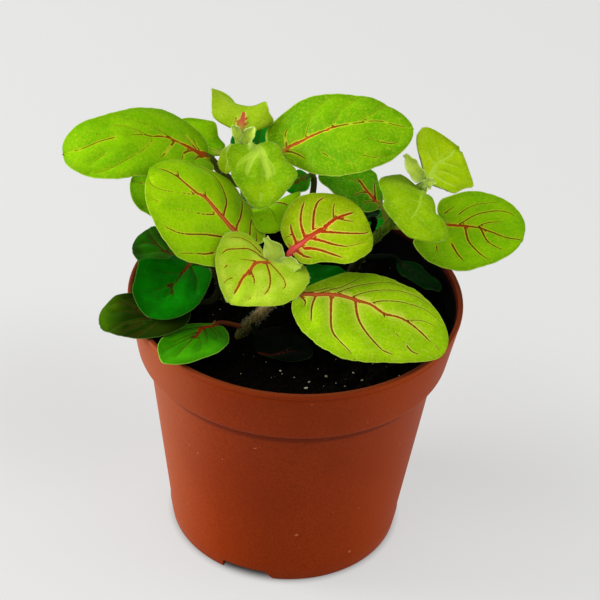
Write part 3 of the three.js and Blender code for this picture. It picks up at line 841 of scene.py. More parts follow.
def leaf_look(name, slot, face, shade, vein=RED_VEIN, fine=BROWN_VEIN, core=(190, 92, 46),
              halo=(204, 190, 50), edge_tone=(176, 200, 70), back=(134, 160, 70), stalk=(128, 140, 40),
              specks=1.0, broken=False, soft=0.09, rim=0.6, pale=0.12, painted_shadow_span=None, core_from=0.2):
    """
    A leaf's material and slot, from its colours on a screen: the face and its patches of shade, wide and
    fine veins, the core of a wide vein, the halo beside veins, the edge, the back and the petiole.
    Values noted on its mesh say how far each spot is from a vein and from the edge.
    """
    made, shader, place = finish(name, 0.5)
    fields = ("vein_side", "vein_gap", "vein_half", "blade_rim", "face_up", "petiole")
    noted = (place.node("Attribute", {"attribute_name": field}, output="Fac") for field in fields)
    side, gap, half, edge, up, root = noted

    def deeper(share):
        return paint(*(share * value for value in shade))

    grain = place.fleck(1.3, 4.0, 0.62)
    ragged = half + (place.fleck(1.3, 3.0, 0.7) - 0.5) * half.least(0.5) * 1.5
    line = abs(side).most(gap - 0.25)
    wide = half.rise(0.18, 0.46)
    whole = place.fleck(0.4, 2.0).rise(0.40, 0.46).most(wide) if broken else 1.0
    blur = half.rise(0.15, 0.5) * (soft - 0.09) + 0.09
    drawn = (1 - ((line - ragged) / blur).rise(-1, 1)) * half.rise(0.02, 0.06) * up * whole
    beside = (1 - (line - ragged).rise(0.05, 0.45)) * half.rise(0.02, 0.2)
    cells = {"Vector": place, "Scale": 0.3, "Randomness": 1.0}
    spot = 1 - place.node("TexVoronoi", {}, cells).rise(0.05, 0.08)
    kept = place.node("TexVoronoi", {}, cells, output="Color")
    kept = kept.node("SeparateColor", {}, {0: kept}, output=0).rise(0.62, 0.64)

    tone = place.fleck(0.13, 2.0).rise(0.35, 0.65).tint(paint(*face), paint(*shade))
    tone = ((1 - edge.rise(0.0, 3.5)) * 0.55).tint(tone, deeper(0.82))
    tone = (grain.rise(0.45, 0.7) * 0.24).tint(tone, paint(*halo))
    tone = (place.fleck(1.8, 3.0, 0.7).rise(0.5, 0.66) * 0.42).tint(tone, deeper(0.78))
    # Painted shade: where asked, a leaf is darkened along X, standing in for the shadow of the leaves
    # above it.
    if painted_shadow_span:
        tone = (place.axis("X").rise(*painted_shadow_span) * 0.9).tint(tone, deeper(0.22))
    tone = (beside * (wide * 0.4 + 0.5)).tint(tone, paint(*halo))
    tone = ((1 - line.rise(0.2, 2.6)) * wide * pale).tint(tone, paint(*halo))
    tone = (spot * kept * up * specks * 0.8).tint(tone, paint(*fine))
    middle = (1 - (line / half.most(0.05)).rise(0.2, 0.9)) * half.rise(core_from, core_from + 0.5)
    ink = middle.tint(wide.tint(paint(*fine), paint(*vein)), paint(*core))
    tone = drawn.tint(tone, ink)
    tone = ((1 - edge.rise(0.08, 0.3)) * rim).tint(tone, paint(*edge_tone))
    tone = ((1 - up) * (1 - root)).tint(tone, (beside * 0.6).tint(paint(*back), paint(*stalk)))
    join(root.tint(tone, paint(*stalk)), shader["Base Color"])
    bumps(shader, 0.4, 0.0003, grain * 0.5 + (gap / 0.8).rise(0.0, 1.0) * 0.6)
    shader["Specular IOR Level"].default_value = 0.02
    return made, slot


def arched(thick, pairs=4, fine=0.25):
    """A midrib with side veins that arch toward the tip."""
    veins = [(thick, (0, 0), (0.5, 0), (0.97, 0))]
    for k in range(pairs):
        a = 0.04 + 0.62 * k / pairs
        veins += [(fine, (a, 0), (a + 0.1, 0.45 * s), (a + 0.27, 0.85 * s)) for s in (-1, 1)]
    return veins


UNVEINED = [(0.25, (0, 0), (0.97, 0))]
brown_stalked = leaf_look("brown-stalked lime leaf", "bright_leaf", (116, 168, 0), (100, 158, 0),
                          core=(150, 62, 14), halo=(190, 190, 34), stalk=(66, 70, 16), broken=True)
broad_lime = leaf_look("broad leaf", "bright_leaf", (106, 157, 0), (90, 146, 0), core=(180, 92, 36),
                       halo=(196, 196, 44), broken=True)
lime = leaf_look("lime leaf", "bright_leaf", (116, 171, 0), (96, 158, 0), core=(150, 68, 16),
                 halo=(190, 190, 34), broken=True)
side_lime = leaf_look("side leaf", "bright_leaf", (114, 180, 0), (86, 152, 0), broken=True)
# Painted light: lighter than the lime leaves, for a leaf in shade inside the plant.
inner_lit_lime = leaf_look("inner leaf", "bright_leaf", (150, 212, 2), (140, 204, 2), core=(140, 56, 8))
red_based = leaf_look("red-based young leaf", "bright_leaf", (156, 188, 26), (140, 178, 8),
                      (190, 84, 50), (150, 90, 30), core=(172, 86, 56), halo=(196, 190, 80),
                      edge_tone=(196, 216, 120), specks=0.1)
whitish = dict(core=(196, 216, 120), halo=(176, 206, 70), edge_tone=(196, 216, 120),
               stalk=(150, 176, 70), specks=0.1, soft=0.3, rim=0.1)
# Painted light: a brighter, yellower copy of the young leaves' colours, for young leaves that turn away
# from the lamps or sit in shade.
upright_lit_lime = leaf_look("upright young leaf", "bright_leaf", (166, 196, 4), (150, 186, 2),
                         (186, 212, 100), (170, 204, 60), **whitish)
fan_lime = leaf_look("soft-veined young leaf", "bright_leaf", (132, 172, 2), (104, 152, 0),
                     (144, 180, 34), (140, 178, 28), **whitish | dict(core=(160, 192, 60), soft=1.6))
olive = dict(core=(150, 50, 24), halo=(40, 96, 10), edge_tone=(70, 110, 40), back=(70, 90, 40),
             stalk=(70, 84, 30))
dark_green = leaf_look("dark leaf", "dark_leaf", (4, 118, 0), (4, 92, 0), (120, 34, 10), (50, 28, 4),
                       **olive)

leaf("top_leaf_left", "top", 0.8, (-25.5, 13.2, 108.2), (-62.7, 2.2, 113.2), 21.7, brown_stalked, [
    (1.9, (0.01, 0), (0.08, -0.07), (0.14, -0.03), (0.21, -0.01)),
    (1, (0.08, -0.07), (0.14, -0.03), (0.21, -0.01), (0.28, 0.04), (0.35, 0.03), (0.43, -0.04)),
    (0.35, (0.42, -0.01), (0.48, 0.01), (0.57, 0.01)),
    (0.4, (0.68, -0.01), (0.77, -0.02), (0.89, -0.07), (0.99, 0)),
    (0.75, (0.07, 0), (0.12, 0.3), (0.17, 0.52)), (0.65, (0.04, -0.06), (0.07, 0.33), (0.11, 0.57)),
    (0.6, (0.25, -0.01), (0.32, -0.34), (0.38, -0.58)),
    (0.65, (0.12, -0.1), (0.19, -0.31), (0.23, -0.56)),
    (0.55, (0.03, -0.19), (0.08, -0.3), (0.13, -0.49)),
    (0.25, (0.42, -0.12), (0.5, -0.39), (0.62, -0.58), (0.74, -0.74), (0.86, -0.9)),
    (0.22, (0.75, -0.36), (0.8, -0.48), (0.83, -0.57)), (0.18, (0.28, 0.09), (0.42, 0.35), (0.56, 0.59)),
    (0.18, (0.44, -0.02), (0.57, 0.29), (0.7, 0.54)),
], roll=-20, arch=8, bend=-0.8, heart=4, cup=-1.7, left_edge=(1, 1, 1.15, 1.4, 1.4),
     right_edge=(0.85, 0.95, 0.95, 0.95, 1.45), petiole=1.15)
leaf("top_leaf_right", "top", 0.82, (-6, 11, 112), (27.9, 6, 125), 24.5, broad_lime, [
    (1.25, (0, 0), (0.06, -0.05), (0.15, 0.04), (0.22, 0.03), (0.29, 0.03), (0.36, 0.02)),
    (0.9, (0.37, 0.03), (0.42, 0.01), (0.49, 0.01)),
    (0.4, (0.49, 0.01), (0.63, 0), (0.76, -0.07), (0.88, 0), (0.99, 0)),
    (0.6, (0.01, 0), (0.09, -0.53), (0.15, -0.64)), (0.5, (0.02, 0.09), (0.11, 0.42), (0.2, 0.67)),
    (0.22, (0.19, 0), (0.25, -0.38), (0.33, -0.66), (0.4, -0.8)),
    (0.18, (0.4, 0.01), (0.49, -0.44), (0.6, -0.86)),
    (0.18, (0.64, -0.02), (0.74, -0.48), (0.85, -1.17)), (0.25, (0.33, 0.5), (0.39, 0.62), (0.44, 0.69)),
    (0.35, (0.77, 0.46), (0.83, 0.55), (0.89, 0.6)), (0.2, (0.7, 0.36), (0.74, 0.41), (0.77, 0.49)),
    (0.2, (0.51, 0.72), (0.56, 0.81), (0.59, 0.89)), (0.2, (0.64, 0.67), (0.73, 0.79), (0.83, 0.86)),
], roll=31, arch=3, bend=3.5, heart=(15, 0.7), full=0.2, cup=-1.5,
     left_edge=(0.5, 0.92, 0.81, 0.77, 0.62), right_edge=(0.5, 0.92, 1.19, 1.3, 1.25))
leaf("top_leaf_front", "top", 0.98, (-13.7, 7.4, 115.8), (-10.9, -9.2, 107.5), 16, fan_lime, [
    (1.5, (0.05, -0.31), (0.21, -0.32), (0.4, -0.28), (0.59, -0.22)),
    (1.1, (0.06, -0.23), (0.2, 0.07), (0.36, 0.28), (0.5, 0.42)),
    (0.7, (0.06, -0.15), (0.18, 0.3), (0.37, 0.73)), (0.6, (0.12, -0.31), (0.3, -0.46), (0.53, -0.41)),
    (0.35, (0.8, -0.08), (0.91, -0.14)),
], arch=1.2, bend=0.6, heart=2, cup=0.4, left_edge=(1.5, 1, 1.3, 1.2, 1.15),
     right_edge=(1.3, 1, 0.86, 0.75, 0.7), scallop=0.03, hairy=60)
leaf("top_leaf_back", "top", 0.98, (-16.7, 12.6, 115.4), (-17, 27, 113), 17, red_based, [
    (1.7, (0.05, -0.01), (0.17, -0.03), (0.27, -0.02), (0.4, -0.01)),
    (0.55, (0.1, -0.03), (0.17, -0.17), (0.23, -0.26)), (0.5, (0.15, -0.03), (0.23, 0.08), (0.26, 0.2)),
    (0.4, (0.08, -0.04), (0.11, -0.19), (0.12, -0.35)), (0.4, (0.09, -0.01), (0.15, 0.1), (0.18, 0.23)),
], roll=6, arch=5.3, heart=(-4, -7), cup=(0.6, 0.5), curl=(7.5, 3), left_edge=(1.5, 1.1, 1.1, 1.25, 0.9),
     right_edge=(1.75, 0.9, 0.72, 0.7, 0.6), hairy=80)
leaf("top_leaf_rear_left", "top", 0.9, (-22.8, 17, 107.4), (-34.4, 25.8, 111), 13.6, lime, UNVEINED,
     roll=-9, bend=0.9, heart=1.4, left_edge=(1.15, 1.1, 1, 1, 1),
     right_edge=(0.91, 0.75, 1.13, 1.12, 0.8))
leaf("top_leaf_lower_front", "top", 0.66, (-11, 7.7, 96.4), (-5.4, -1.9, 96), 18, inner_lit_lime, [
    (0.2, (0, 0), (0.4, 0), (0.97, 0)), (0.75, (0.2, -0.32), (0.4, -0.36), (0.62, -0.6)),
], roll=10, arch=3.5, bend=0.9, left_edge=(1, 1.1, 1, 0.75, 0.7), right_edge=(0.8, 0.7, 0.72, 0.85, 1.2))
leaf("top_leaf_lower_left", "top", 0.66, (-21.7, 13.3, 94.8), (-45.9, 16.8, 97), 20, side_lime,
     arched(0.6), roll=-23, left_edge=(1, 1, 1, 1.15, 1.35))
leaf("top_leaf_lower_back", "top", 0.74, (-13, 22, 103), (-12, 40, 103), 22, dark_green, UNVEINED,
     left_edge=(0.68, 0.68))
leaf("top_leaf_young", "top", 0.94, (-19.4, 10, 113.5), (-20.5, 5, 108.5), 4.6, upright_lit_lime, UNVEINED,
     petiole=0.6, left_edge=(1, 1, 1.1, 1.4), right_edge=(1, 1, 1.1, 1.4), hairy=40)


# Leaves of the front shoot
# Four broad leaves on short petioles, in two crossed pairs near the stem's end: a long one to the right,
# a yellow-lime one behind to the left, a pale young one in front, and a pink-veined one behind.
# Painted light: a strong pale band along its wide veins lightens the half of this leaf that the leaves
# above shade.
near_lime = leaf_look("near leaf", "bright_leaf", (146, 188, 2), (128, 174, 0), halo=(208, 204, 80),
                      pale=0.6)
yellow_lime = leaf_look("yellow-lime leaf", "bright_leaf", (141, 190, 0), (123, 177, 0))
pale_lime = leaf_look("pale leaf", "bright_leaf", (180, 206, 56), (148, 188, 20), (160, 66, 16),
                      (110, 66, 4))
rosy_lime = leaf_look("pink-veined leaf", "bright_leaf", (150, 182, 2), (136, 172, 0), (168, 52, 14),
                      (110, 54, 4), core=(224, 92, 84), halo=(224, 202, 76), stalk=(204, 70, 66),
                      core_from=0.5)

leaf("front_leaf_right", "front", 0.84, (-0.1, -12.5, 83.8), (39.2, -29.9, 80.4), 26.3, near_lime, [
    (1.7, (0, 0), (0.13, 0.02), (0.27, -0.03), (0.38, 0), (0.48, -0.01)),
    (1, (0.27, -0.03), (0.38, 0), (0.48, -0.01), (0.59, 0.05), (0.7, -0.04), (0.82, -0.02), (0.92, 0.07)),
    (0.25, (0.94, 0.05), (0.97, 0.11)), (0.6, (0.04, 0.14), (0.09, 0.33), (0.1, 0.48)),
    (0.7, (0.13, 0.04), (0.15, 0.4), (0.2, 0.73)),
    (0.8, (0.22, -0.03), (0.28, 0.34), (0.35, 0.64), (0.44, 0.76)),
    (0.4, (0.44, 0.76), (0.5, 0.82), (0.54, 0.89)),
    (0.75, (0.37, -0.04), (0.46, 0.29), (0.61, 0.58), (0.69, 0.73)),
    (0.4, (0.69, 0.73), (0.72, 0.76), (0.75, 0.79)), (0.5, (0.8, 0.52), (0.84, 0.62), (0.88, 0.66)),
    (0.25, (0.71, 0.32), (0.74, 0.38)), (0.45, (0.58, 0.03), (0.6, 0.12)),
    (0.45, (0.04, -0.06), (0.11, -0.16), (0.19, -0.35)),
    (0.4, (0.13, -0.01), (0.21, -0.25), (0.26, -0.42), (0.32, -0.9)),
    (0.4, (0.24, -0.08), (0.34, -0.51), (0.48, -0.85)),
    (0.22, (0.48, -0.85), (0.55, -0.92), (0.62, -0.91)),
    (0.4, (0.36, -0.11), (0.42, -0.36), (0.5, -0.57), (0.59, -0.75)),
    (0.28, (0.59, -0.75), (0.7, -0.86), (0.83, -0.98)),
    (0.45, (0.48, -0.06), (0.54, -0.25), (0.63, -0.44), (0.69, -0.54)),
    (0.28, (0.69, -0.54), (0.78, -0.7), (0.87, -0.82)), (0.25, (0.73, -0.1), (0.81, -0.38), (0.9, -0.6)),
], roll=17, arch=5.3, bend=2, full=-0.05, cup=-0.9, heart=(-4, 0),
     left_edge=(1.1, 0.83, 0.82, 0.85, 0.95), right_edge=(1.15, 1.34, 1.39, 1.09, 0.77))
leaf("front_leaf_back_left", "front", 0.8, (-15, -9.2, 98), (-39.2, -4.8, 115.4), 28, yellow_lime, [
    (2.1, (0.03, -0.03), (0.14, -0.07), (0.24, -0.06), (0.34, -0.04), (0.47, 0), (0.57, -0.04)),
    (0.8, (0.55, -0.03), (0.67, 0.01), (0.79, 0.14), (0.95, 0.3)),
    (0.75, (0.06, 0.09), (0.18, 0.57), (0.3, 0.99)),
    (0.65, (0.24, 0), (0.29, 0.38), (0.37, 0.58), (0.53, 0.9)),
    (0.25, (0.53, 0.9), (0.61, 0.96), (0.68, 0.99)), (0.45, (0.47, 0.01), (0.5, 0.18)),
    (0.4, (0.76, 0.15), (0.79, 0.42)), (0.6, (0.05, 0.68), (0.15, 0.75), (0.22, 1.04)),
    (0.5, (0.02, 0.92), (0.11, 0.83)),
    (0.55, (0.19, -0.43), (0.34, -0.54), (0.52, -0.73), (0.68, -0.86)),
    (0.45, (0.33, -0.14), (0.41, -0.25), (0.5, -0.33)),
    (0.2, (0.52, -0.35), (0.62, -0.46), (0.72, -0.61)),
    (0.35, (0.56, -0.07), (0.64, -0.16), (0.71, -0.23)),
    (0.22, (0.75, -0.3), (0.86, -0.48), (0.93, -0.61), (0.97, -0.61)),
    (0.2, (0.81, -0.68), (0.86, -0.78)), (0.55, (0.23, -0.77), (0.28, -0.82), (0.34, -0.85)),
    (0.25, (0.35, -0.86), (0.39, -0.89), (0.45, -0.95)),
], roll=-6, arch=3.1, bend=-0.8, heart=(9.5, 18), cup=(-3.2, -2.2),
     left_edge=(0.75, 1.25, 1.5, 1.45, 1.3), right_edge=(0.55, 0.87, 0.97, 0.85, 0.7))
leaf("front_leaf_left", "front", 0.92, (-7.3, -13.1, 94.5), (-16.8, -28.6, 91.2), 25.4, pale_lime, [
    (1.1, (0.08, -0.08), (0.3, 0.02), (0.5, -0.02), (0.66, 0), (0.81, -0.02), (0.91, -0.02)),
    (0.6, (0.5, -0.03), (0.56, -0.16), (0.65, -0.27)),
    (0.55, (0.05, 0.02), (0.1, 0.42), (0.31, 0.56), (0.49, 0.74), (0.62, 0.82)),
    (0.35, (0.02, 0.57), (0.09, 0.78), (0.18, 0.85), (0.3, 0.89)),
    (0.4, (0.25, 0.07), (0.35, 0.2), (0.44, 0.35)),
    (0.6, (0.15, -0.09), (0.35, -0.32), (0.53, -0.5), (0.71, -0.59)),
    (0.5, (0.07, -0.14), (0.17, -0.33), (0.27, -0.53), (0.38, -0.68), (0.47, -0.7)),
    (0.3, (0.67, 0.56), (0.74, 0.64)), (0.25, (0.75, 0.29), (0.88, 0.64)),
    (0.2, (0.82, -0.51), (0.87, -0.58)),
], roll=-17, arch=4.3, bend=-1, heart=(6, 3.3), cup=(0, 2.5), left_edge=(1.38, 1.17, 1.1, 1.08, 0.72),
     right_edge=(1.1, 0.9, 0.77, 0.78, 0.6), hairy=100)
leaf("front_leaf_back_right", "front", 0.96, (-1.7, -11.8, 96.9), (15.7, -3.1, 105), 24.3, rosy_lime, [
    (2.2, (0, 0), (0.12, 0.02), (0.29, 0.02), (0.49, 0.02)),
    (1.2, (0.49, 0.02), (0.67, -0.04), (0.92, -0.03)),
    (0.85, (0.07, -0.01), (0.13, -0.52), (0.18, -0.7)),
    (0.8, (0.21, -0.08), (0.27, -0.44), (0.38, -0.7), (0.47, -0.85)),
    (0.75, (0.35, -0.11), (0.48, -0.46), (0.6, -0.71), (0.71, -0.84)),
    (0.5, (0.64, -0.05), (0.7, -0.33), (0.77, -0.57)), (0.5, (0.69, -0.02), (0.76, 0.1), (0.85, 0.22)),
    (0.75, (0.42, 0.08), (0.63, 0.31), (0.82, 0.54), (0.93, 0.77)),
    (0.85, (0.29, 0.15), (0.42, 0.41), (0.57, 0.6)), (0.25, (0.57, 0.6), (0.7, 0.68), (0.82, 0.76)),
    (0.85, (0.14, 0.28), (0.33, 0.64), (0.46, 0.83)), (0.8, (0.01, 0), (0.09, 0.56), (0.17, 0.74)),
    (0.25, (0.08, -0.59), (0.03, -0.92)), (0.25, (0.02, -0.72), (0.01, 0)),
], roll=19, arch=2.6, heart=2, left_edge=(0.85, 0.9, 0.9, 0.9, 0.8),
     right_edge=(0.8, 0.75, 1.1, 1.35, 1.7))


# Leaves of the right and back shoots
# The right shoot has two soft young leaves at its end, a full-grown one below them to the right, and two
# darker ones toward the middle of the plant. The short back stem carries a small shaded leaf.
young_lime = leaf_look("young leaf", "bright_leaf", (134, 172, 2), (114, 160, 0), (178, 206, 90),
                       (156, 192, 50), **whitish)
outer_lime = leaf_look("outer leaf", "bright_leaf", (122, 174, 0), (104, 162, 0), fine=(80, 46, 0),
                       core=(156, 66, 18), halo=(190, 190, 34))
mid_green = leaf_look("mid-green leaf", "green_leaf", (78, 158, 0), (58, 138, 0), (170, 44, 14),
                      (100, 36, 8))
# Painted shade: a near-black copy of the dark leaves' colours, for leaves deep in the plant's shadow.
dim_shaded_green = leaf_look("dim leaf", "dark_leaf", (2, 56, 2), (2, 38, 2), (80, 24, 10), (6, 30, 4),
                      **olive | dict(halo=(10, 44, 6), edge_tone=(24, 66, 16), stalk=(4, 12, 3)))
small_green = leaf_look("small shaded leaf", "dark_leaf", (24, 150, 0), (16, 130, 0),
                        halo=(50, 120, 0), stalk=(70, 84, 30))

leaf("right_leaf_top", "right", 0.98, (32.1, 2.1, 111.7), (40.6, 10, 116.5), 17.7, upright_lit_lime, [
    (0.5, (0.07, 0.01), (0.3, -0.02), (0.52, -0.02), (0.8, 0.01)),
    (0.22, (0.39, -0.01), (0.39, -0.27), (0.43, -0.47)),
    (0.22, (0.52, -0.02), (0.58, -0.24), (0.67, -0.4)),
    (0.22, (0.48, -0.01), (0.65, 0.18), (0.78, 0.48)), (0.2, (0.28, 0), (0.47, 0.34), (0.6, 0.67)),
    (0.3, (0.21, 0.01), (0.3, 0.5), (0.41, 0.82)), (0.35, (0.8, 0.01), (0.96, -0.17)),
], roll=50, bend=0.9, heart=-2.2, cup=1.8, left_edge=(1, 1.1, 1.2, 1.3, 1),
     right_edge=(1, 0.95, 1, 1.3, 0.9), hairy=70)
leaf("right_leaf_front", "right", 0.97, (31.4, -0.1, 109.3), (28.5, -19.4, 108), 22.5, young_lime, [
    (0.32, (0.12, 0.02), (0.47, 0.04), (0.76, 0.18)), (0.14, (0.6, 0.08), (0.72, -0.25), (0.8, -0.64)),
    (0.14, (0.25, 0.03), (0.4, -0.6), (0.45, -1.17)), (0.14, (0.31, 0.04), (0.38, 0.4), (0.47, 0.77)),
], roll=-14, arch=2.5, heart=(1.9, 7), cup=(-0.3, -0.7), left_edge=(0.35, 0.35, 0.47, 0.95, 1.5),
     right_edge=(1.08, 1.13, 0.85, 0.92, 0.5), hairy=20)
leaf("right_leaf_right", "right", 0.7, (38.3, 10, 93.3), (59.2, 3.1, 94.5), 28.9, outer_lime, [
    (1.2, (0.01, 0), (0.23, -0.03), (0.45, -0.05)),
    (0.65, (0.45, -0.05), (0.61, 0), (0.82, 0.06), (1, 0)),
    (0.45, (0.05, -0.67), (0.1, -0.66), (0.14, -0.71)),
    (0.36, (0.16, -0.42), (0.25, -0.57), (0.41, -0.73), (0.56, -0.88)),
    (0.5, (0.2, -0.1), (0.33, -0.35), (0.52, -0.58), (0.7, -0.74), (0.8, -0.77)),
    (0.45, (0.43, -0.09), (0.51, -0.23), (0.69, -0.4)),
    (0.65, (0.27, 0), (0.38, 0.28), (0.52, 0.48), (0.71, 0.75)),
    (0.55, (0.47, -0.02), (0.59, 0.22), (0.71, 0.36), (0.82, 0.5)),
    (0.65, (0.23, 0.44), (0.35, 0.62), (0.45, 0.75)), (0.45, (0.12, 0.64), (0.17, 0.73)),
], roll=12, arch=0.9, heart=8.3, left_edge=(0.8, 1, 0.9, 0.95, 1.05),
     right_edge=(1.3, 1.2, 1.1, 1.05, 0.95))
leaf("right_leaf_left", "right", 0.72, (21.2, 10, 98.1), (6, 22, 101), 17, mid_green, [
    (1, (0, 0), (0.24, 0.22), (0.42, 0.31), (0.61, 0.48)),
    (0.5, (0.25, 0.26), (0.36, 0.06), (0.38, -0.35)), (0.4, (0.1, 0.05), (0.18, -0.18), (0.2, -0.52)),
    (0.5, (0.11, 0.1), (0.24, 0.52), (0.39, 0.82)), (0.3, (0.42, 0.31), (0.59, 0.32), (0.7, 0.18)),
], heart=(1.5, -3), left_edge=(1.1, 0.82, 0.84, 0.81, 1.4), right_edge=(1.15, 0.88, 1.16, 1.03, 0.6))
leaf("right_leaf_lower_left", "right", 0.56, (19.5, 13, 91.5), (10, 20, 89.5), 14, dim_shaded_green, [
    (0.5, (0.1, 0.92), (0.26, 0.56), (0.26, 0.03)), (0.3, (0.26, 0.56), (0.4, 0.6), (0.52, 0.6)),
])
leaf("back_leaf_top", "back", 0.97, (1.4, 18, 101), (-5, 16, 98), 10, small_green, arched(0.6))


# Low leaves
# Ten older leaves lie low over the peat and round the pot's rim, on petioles from the lower joints of all
# five stems. They are darker than the rest, partly in their own colour and partly as painted shade, and
# three at the back are hidden from the front.
rear_green = leaf_look("reddish dark leaf", "dark_leaf", (32, 106, 0), (32, 72, 0), (120, 34, 10),
                       (64, 28, 4), **olive)
# This leaf carries a painted shadow toward its base, under the leaves above.
deep_green = leaf_look("shaded leaf", "dark_leaf", (90, 128, 2), (62, 112, 2), (100, 28, 12),
                       (56, 22, 6), **olive | dict(stalk=(26, 28, 10), painted_shadow_span=(-53, -43)))
low_green = leaf_look("low leaf", "green_leaf", (60, 146, 0), (44, 126, 0), (160, 40, 14), (56, 20, 8),
                      core=(176, 60, 24), halo=(90, 150, 16), edge_tone=(140, 190, 60),
                      stalk=(110, 54, 30))
# Painted shade: nearly black, for a low leaf in deep shadow under the front shoot.
black_shaded_green = leaf_look("deep-shaded leaf", "dark_leaf", (5, 10, 1), (3, 7, 1), (150, 30, 20),
                        (60, 20, 10), **olive | dict(halo=(6, 10, 3), edge_tone=(6, 10, 4),
                                                     stalk=(10, 16, 4)))
plain_green = leaf_look("unveined dark leaf", "dark_leaf", (0, 104, 0), (0, 92, 0), (4, 84, 0),
                        (4, 84, 0), **olive | dict(core=(4, 84, 0), halo=(4, 100, 0),
                                                   edge_tone=(10, 100, 10), stalk=(8, 40, 4)))

leaf("low_leaf_left", "left", 0.95, (-28.2, 4.1, 80.5), (-37.7, -19.3, 78.1), 21.6, dark_green, [
    (0.9, (0.02, 0.03), (0.19, 0.02), (0.31, -0.03)), (0.3, (0.31, -0.03), (0.5, -0.02), (0.66, -0.05)),
    (0.4, (0.44, 0.05), (0.55, -0.12), (0.63, -0.22)),
    (0.5, (0.02, -0.05), (0.03, -0.86), (0.06, -1.14)),
    (0.25, (0.19, -0.06), (0.29, 0.25), (0.34, 0.49)), (0.25, (0.27, -0.04), (0.49, 0.1), (0.65, 0.42)),
    (0.25, (0.07, -0.11), (0.27, -0.54), (0.49, -0.75)), (0.45, (0.47, 0.12), (0.44, -0.01)),
    (0.45, (0.5, 0.06), (0.48, -0.03)), (0.4, (0.47, 0.04), (0.61, -0.15)),
], arch=1.1, heart=(1.88, 0.03), cup=(0.16, 2.26), left_edge=(0.68, 0.82, 0.83, 0.89, 1.04, 1.09, 1.19),
     right_edge=(1.21, 0.55, 1, 0.93, 0.91, 0.96, 0.91))
leaf("low_leaf_rear_left", "left", 0.75, (-29, 14.5, 77), (-44.9, 11.5, 77.7), 24, rear_green, [
    (0.6, (0.3, -0.17), (0.45, 0.01), (0.59, 0.43), (0.68, 0.89)),
    (0.3, (0.45, 0.01), (0.62, 0.01), (0.83, -0.09)), (0.3, (0.55, 0.26), (0.71, 0.43), (0.85, 0.46)),
    (0.3, (0.37, -0.07), (0.4, 0.41), (0.55, 0.9)), (0.3, (0.59, 0.43), (0.65, 0.78), (0.69, 1.19)),
])
leaf("low_leaf_over_rim", "left", 0.6, (-28.3, -10.3, 76.6), (-50.3, -22.1, 76.9), 18, deep_green, [
    (0.5, (0.46, -0.18), (0.62, -0.14), (0.82, -0.24), (0.98, -0.8)),
    (0.25, (0.45, -0.14), (0.6, 0.26), (0.77, 0.44)),
    (0.25, (0.47, -0.21), (0.66, -0.45), (0.89, -0.71)), (0.25, (0.5, -0.1), (0.58, 0.48), (0.67, 0.69)),
    (0.3, (0.41, -0.01), (0.46, 0.67), (0.58, 0.82)), (0.3, (0.44, -0.4), (0.64, -0.69), (0.82, -1)),
    (0.25, (0.5, 0.27), (0.6, 0.67), (0.75, 0.8)), (0.3, (0.47, -0.25), (0.68, -0.34), (0.94, -1.25)),
    (0.25, (0.53, -0.49), (0.7, -0.9), (0.8, -1.08)),
], roll=-6, bend=-0.4, left_edge=(1, 1.05, 1.1, 0.95, 0.95), right_edge=(1, 1, 1, 1.15, 1.05))
leaf("low_leaf_front_left", "front", 0.3, (-20.5, -10, 70.6), (-32.6, -37, 77), 16.5, low_green, [
    (1.25, (0, 0), (0.14, 0.48), (0.3, 0.18), (0.45, 0.1)),
    (0.3, (0.45, 0.1), (0.64, 0.04), (0.82, -0.06)), (0.3, (0.15, 0.34), (0.27, -0.12), (0.46, -0.41)),
    (0.3, (0.03, 0.34), (0.12, -0.47), (0.23, -0.7)), (0.3, (0.07, 0.39), (0.18, -0.34), (0.33, -0.57)),
    (0.25, (0.13, 0.62), (0.27, 0.69), (0.39, 0.77)), (0.25, (0.26, 0.29), (0.44, 0.41), (0.63, 0.68)),
    (0.22, (0.36, 0.19), (0.57, 0.36), (0.82, 0.64)), (0.2, (0.28, 0.23), (0.45, -0.19), (0.63, -0.46)),
], roll=4, arch=0.8, cup=(-0.1, 0.85), full=0.2, bend=0.4, heart=(1.9, -2.1),
     left_edge=(0.41, 0.81, 1.02, 1.17, 1.06, 1.33), right_edge=(0.4, 0.63, 0.91, 0.87, 0.9, 0.67),
     petiole=0.6)
leaf("low_leaf_front", "front", 0.4, (-10, -12, 69.5), (5, -19, 68.5), 13, black_shaded_green, [
    (0.6, (0.06, 1.25), (0.3, 0.9), (0.5, 0.68), (0.77, -0.19)),
    (0.3, (0.45, 0.75), (0.55, 0.34), (0.62, -0.21)),
])
leaf("low_leaf_middle", "back", 0.4, (1, 4, 77), (13, 8, 77.2), 12, plain_green, arched(0.6))
leaf("low_leaf_right", "right", 0.35, (27.6, 20, 73.7), (39.1, 9.8, 72.2), 7, dim_shaded_green, arched(0.6))
leaf("low_leaf_back_left", "top", 0.36, (-14, 23, 77), (-21, 40, 79), 17, mid_green, arched(0.6), arch=2)
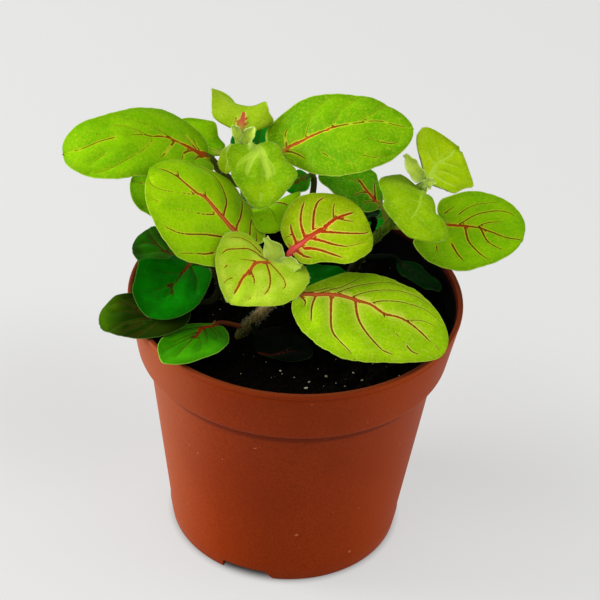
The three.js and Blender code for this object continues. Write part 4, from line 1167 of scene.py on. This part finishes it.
leaf("low_leaf_back", "back", 0.5, (4, 28, 78), (2, 41, 77), 15, dark_green, arched(0.6), arch=2)
leaf("low_leaf_back_right", "back", 0.42, (11, 25, 76), (25, 37, 77.5), 16, dark_green, arched(0.6),
     arch=2)


# Growing tips
# Each leafy shoot ends in a short soft bud with two tiny leaves opening from it, paler than the rest,
# partly in their own colour and partly as painted light shining through them.
TIP_LEAVES = {
    "top": [
        ((-16.2, 11.5, 113.6), (-19, 11, 119.4), 2.6, -60),
        ((-15.8, 11, 113.8), (-13.4, 10.5, 119.8), 2.9, 70),
    ],
    "front": [
        ((-4.9, -13.5, 94.3), (-8.4, -13.5, 101.4), 5, -75),
        ((-4.6, -14, 94), (1, -17, 95.4), 4, 55),
    ],
    "right": [
        ((30.8, 1.5, 112.1), (26.1, 0.5, 120.1), 3.4, -80),
        ((31.8, 0.6, 111), (34, 0.5, 113), 2, 60),
    ],
}
TIP_TAPER = (1, 1, 0.95, 0.75, 0.4)
BUD_LENGTH = 4.3
BUD_RADIUS = 1.1
# Painted light: the tip leaves and buds are painted lighter than their own colour, standing in for light
# shining through them.
tip_lime = leaf_look("tip leaf", "growing_tip", (204, 228, 104), (192, 220, 66), (150, 100, 40),
                     (190, 214, 70), **whitish | dict(edge_tone=(226, 240, 180), back=(176, 208, 60),
                                                      stalk=(172, 198, 90), rim=0.4))
for stem, tip_leaves in TIP_LEAVES.items():
    line, ways = stem_line(stem)
    reach = np.linspace(-0.5, BUD_LENGTH, 12)
    bud = line[-1] + reach[:, None] * ways[-1]
    radii = BUD_RADIUS * (1 - 0.6 * (reach / BUD_LENGTH).clip(0, 1) ** 2)
    node = f"{stem}_growing_tip"
    piece(f"{stem}_bud", *rod(bud, radii), tip_lime[0], "growing_tip", [node])
    for k, (base, tip, width, roll) in enumerate(tip_leaves):
        start = (bud[7], unit(np.array(base) - bud[7]))
        leaf(f"{stem}_tip_{k + 1}", stem, 1, base, tip, width, tip_lime, arched(0.4, 3, 0.2), roll=roll,
             arch=0.4, cup=0.6, left_edge=TIP_TAPER, right_edge=TIP_TAPER, node=node, start=start,
             petiole=0.45, hairy=16)
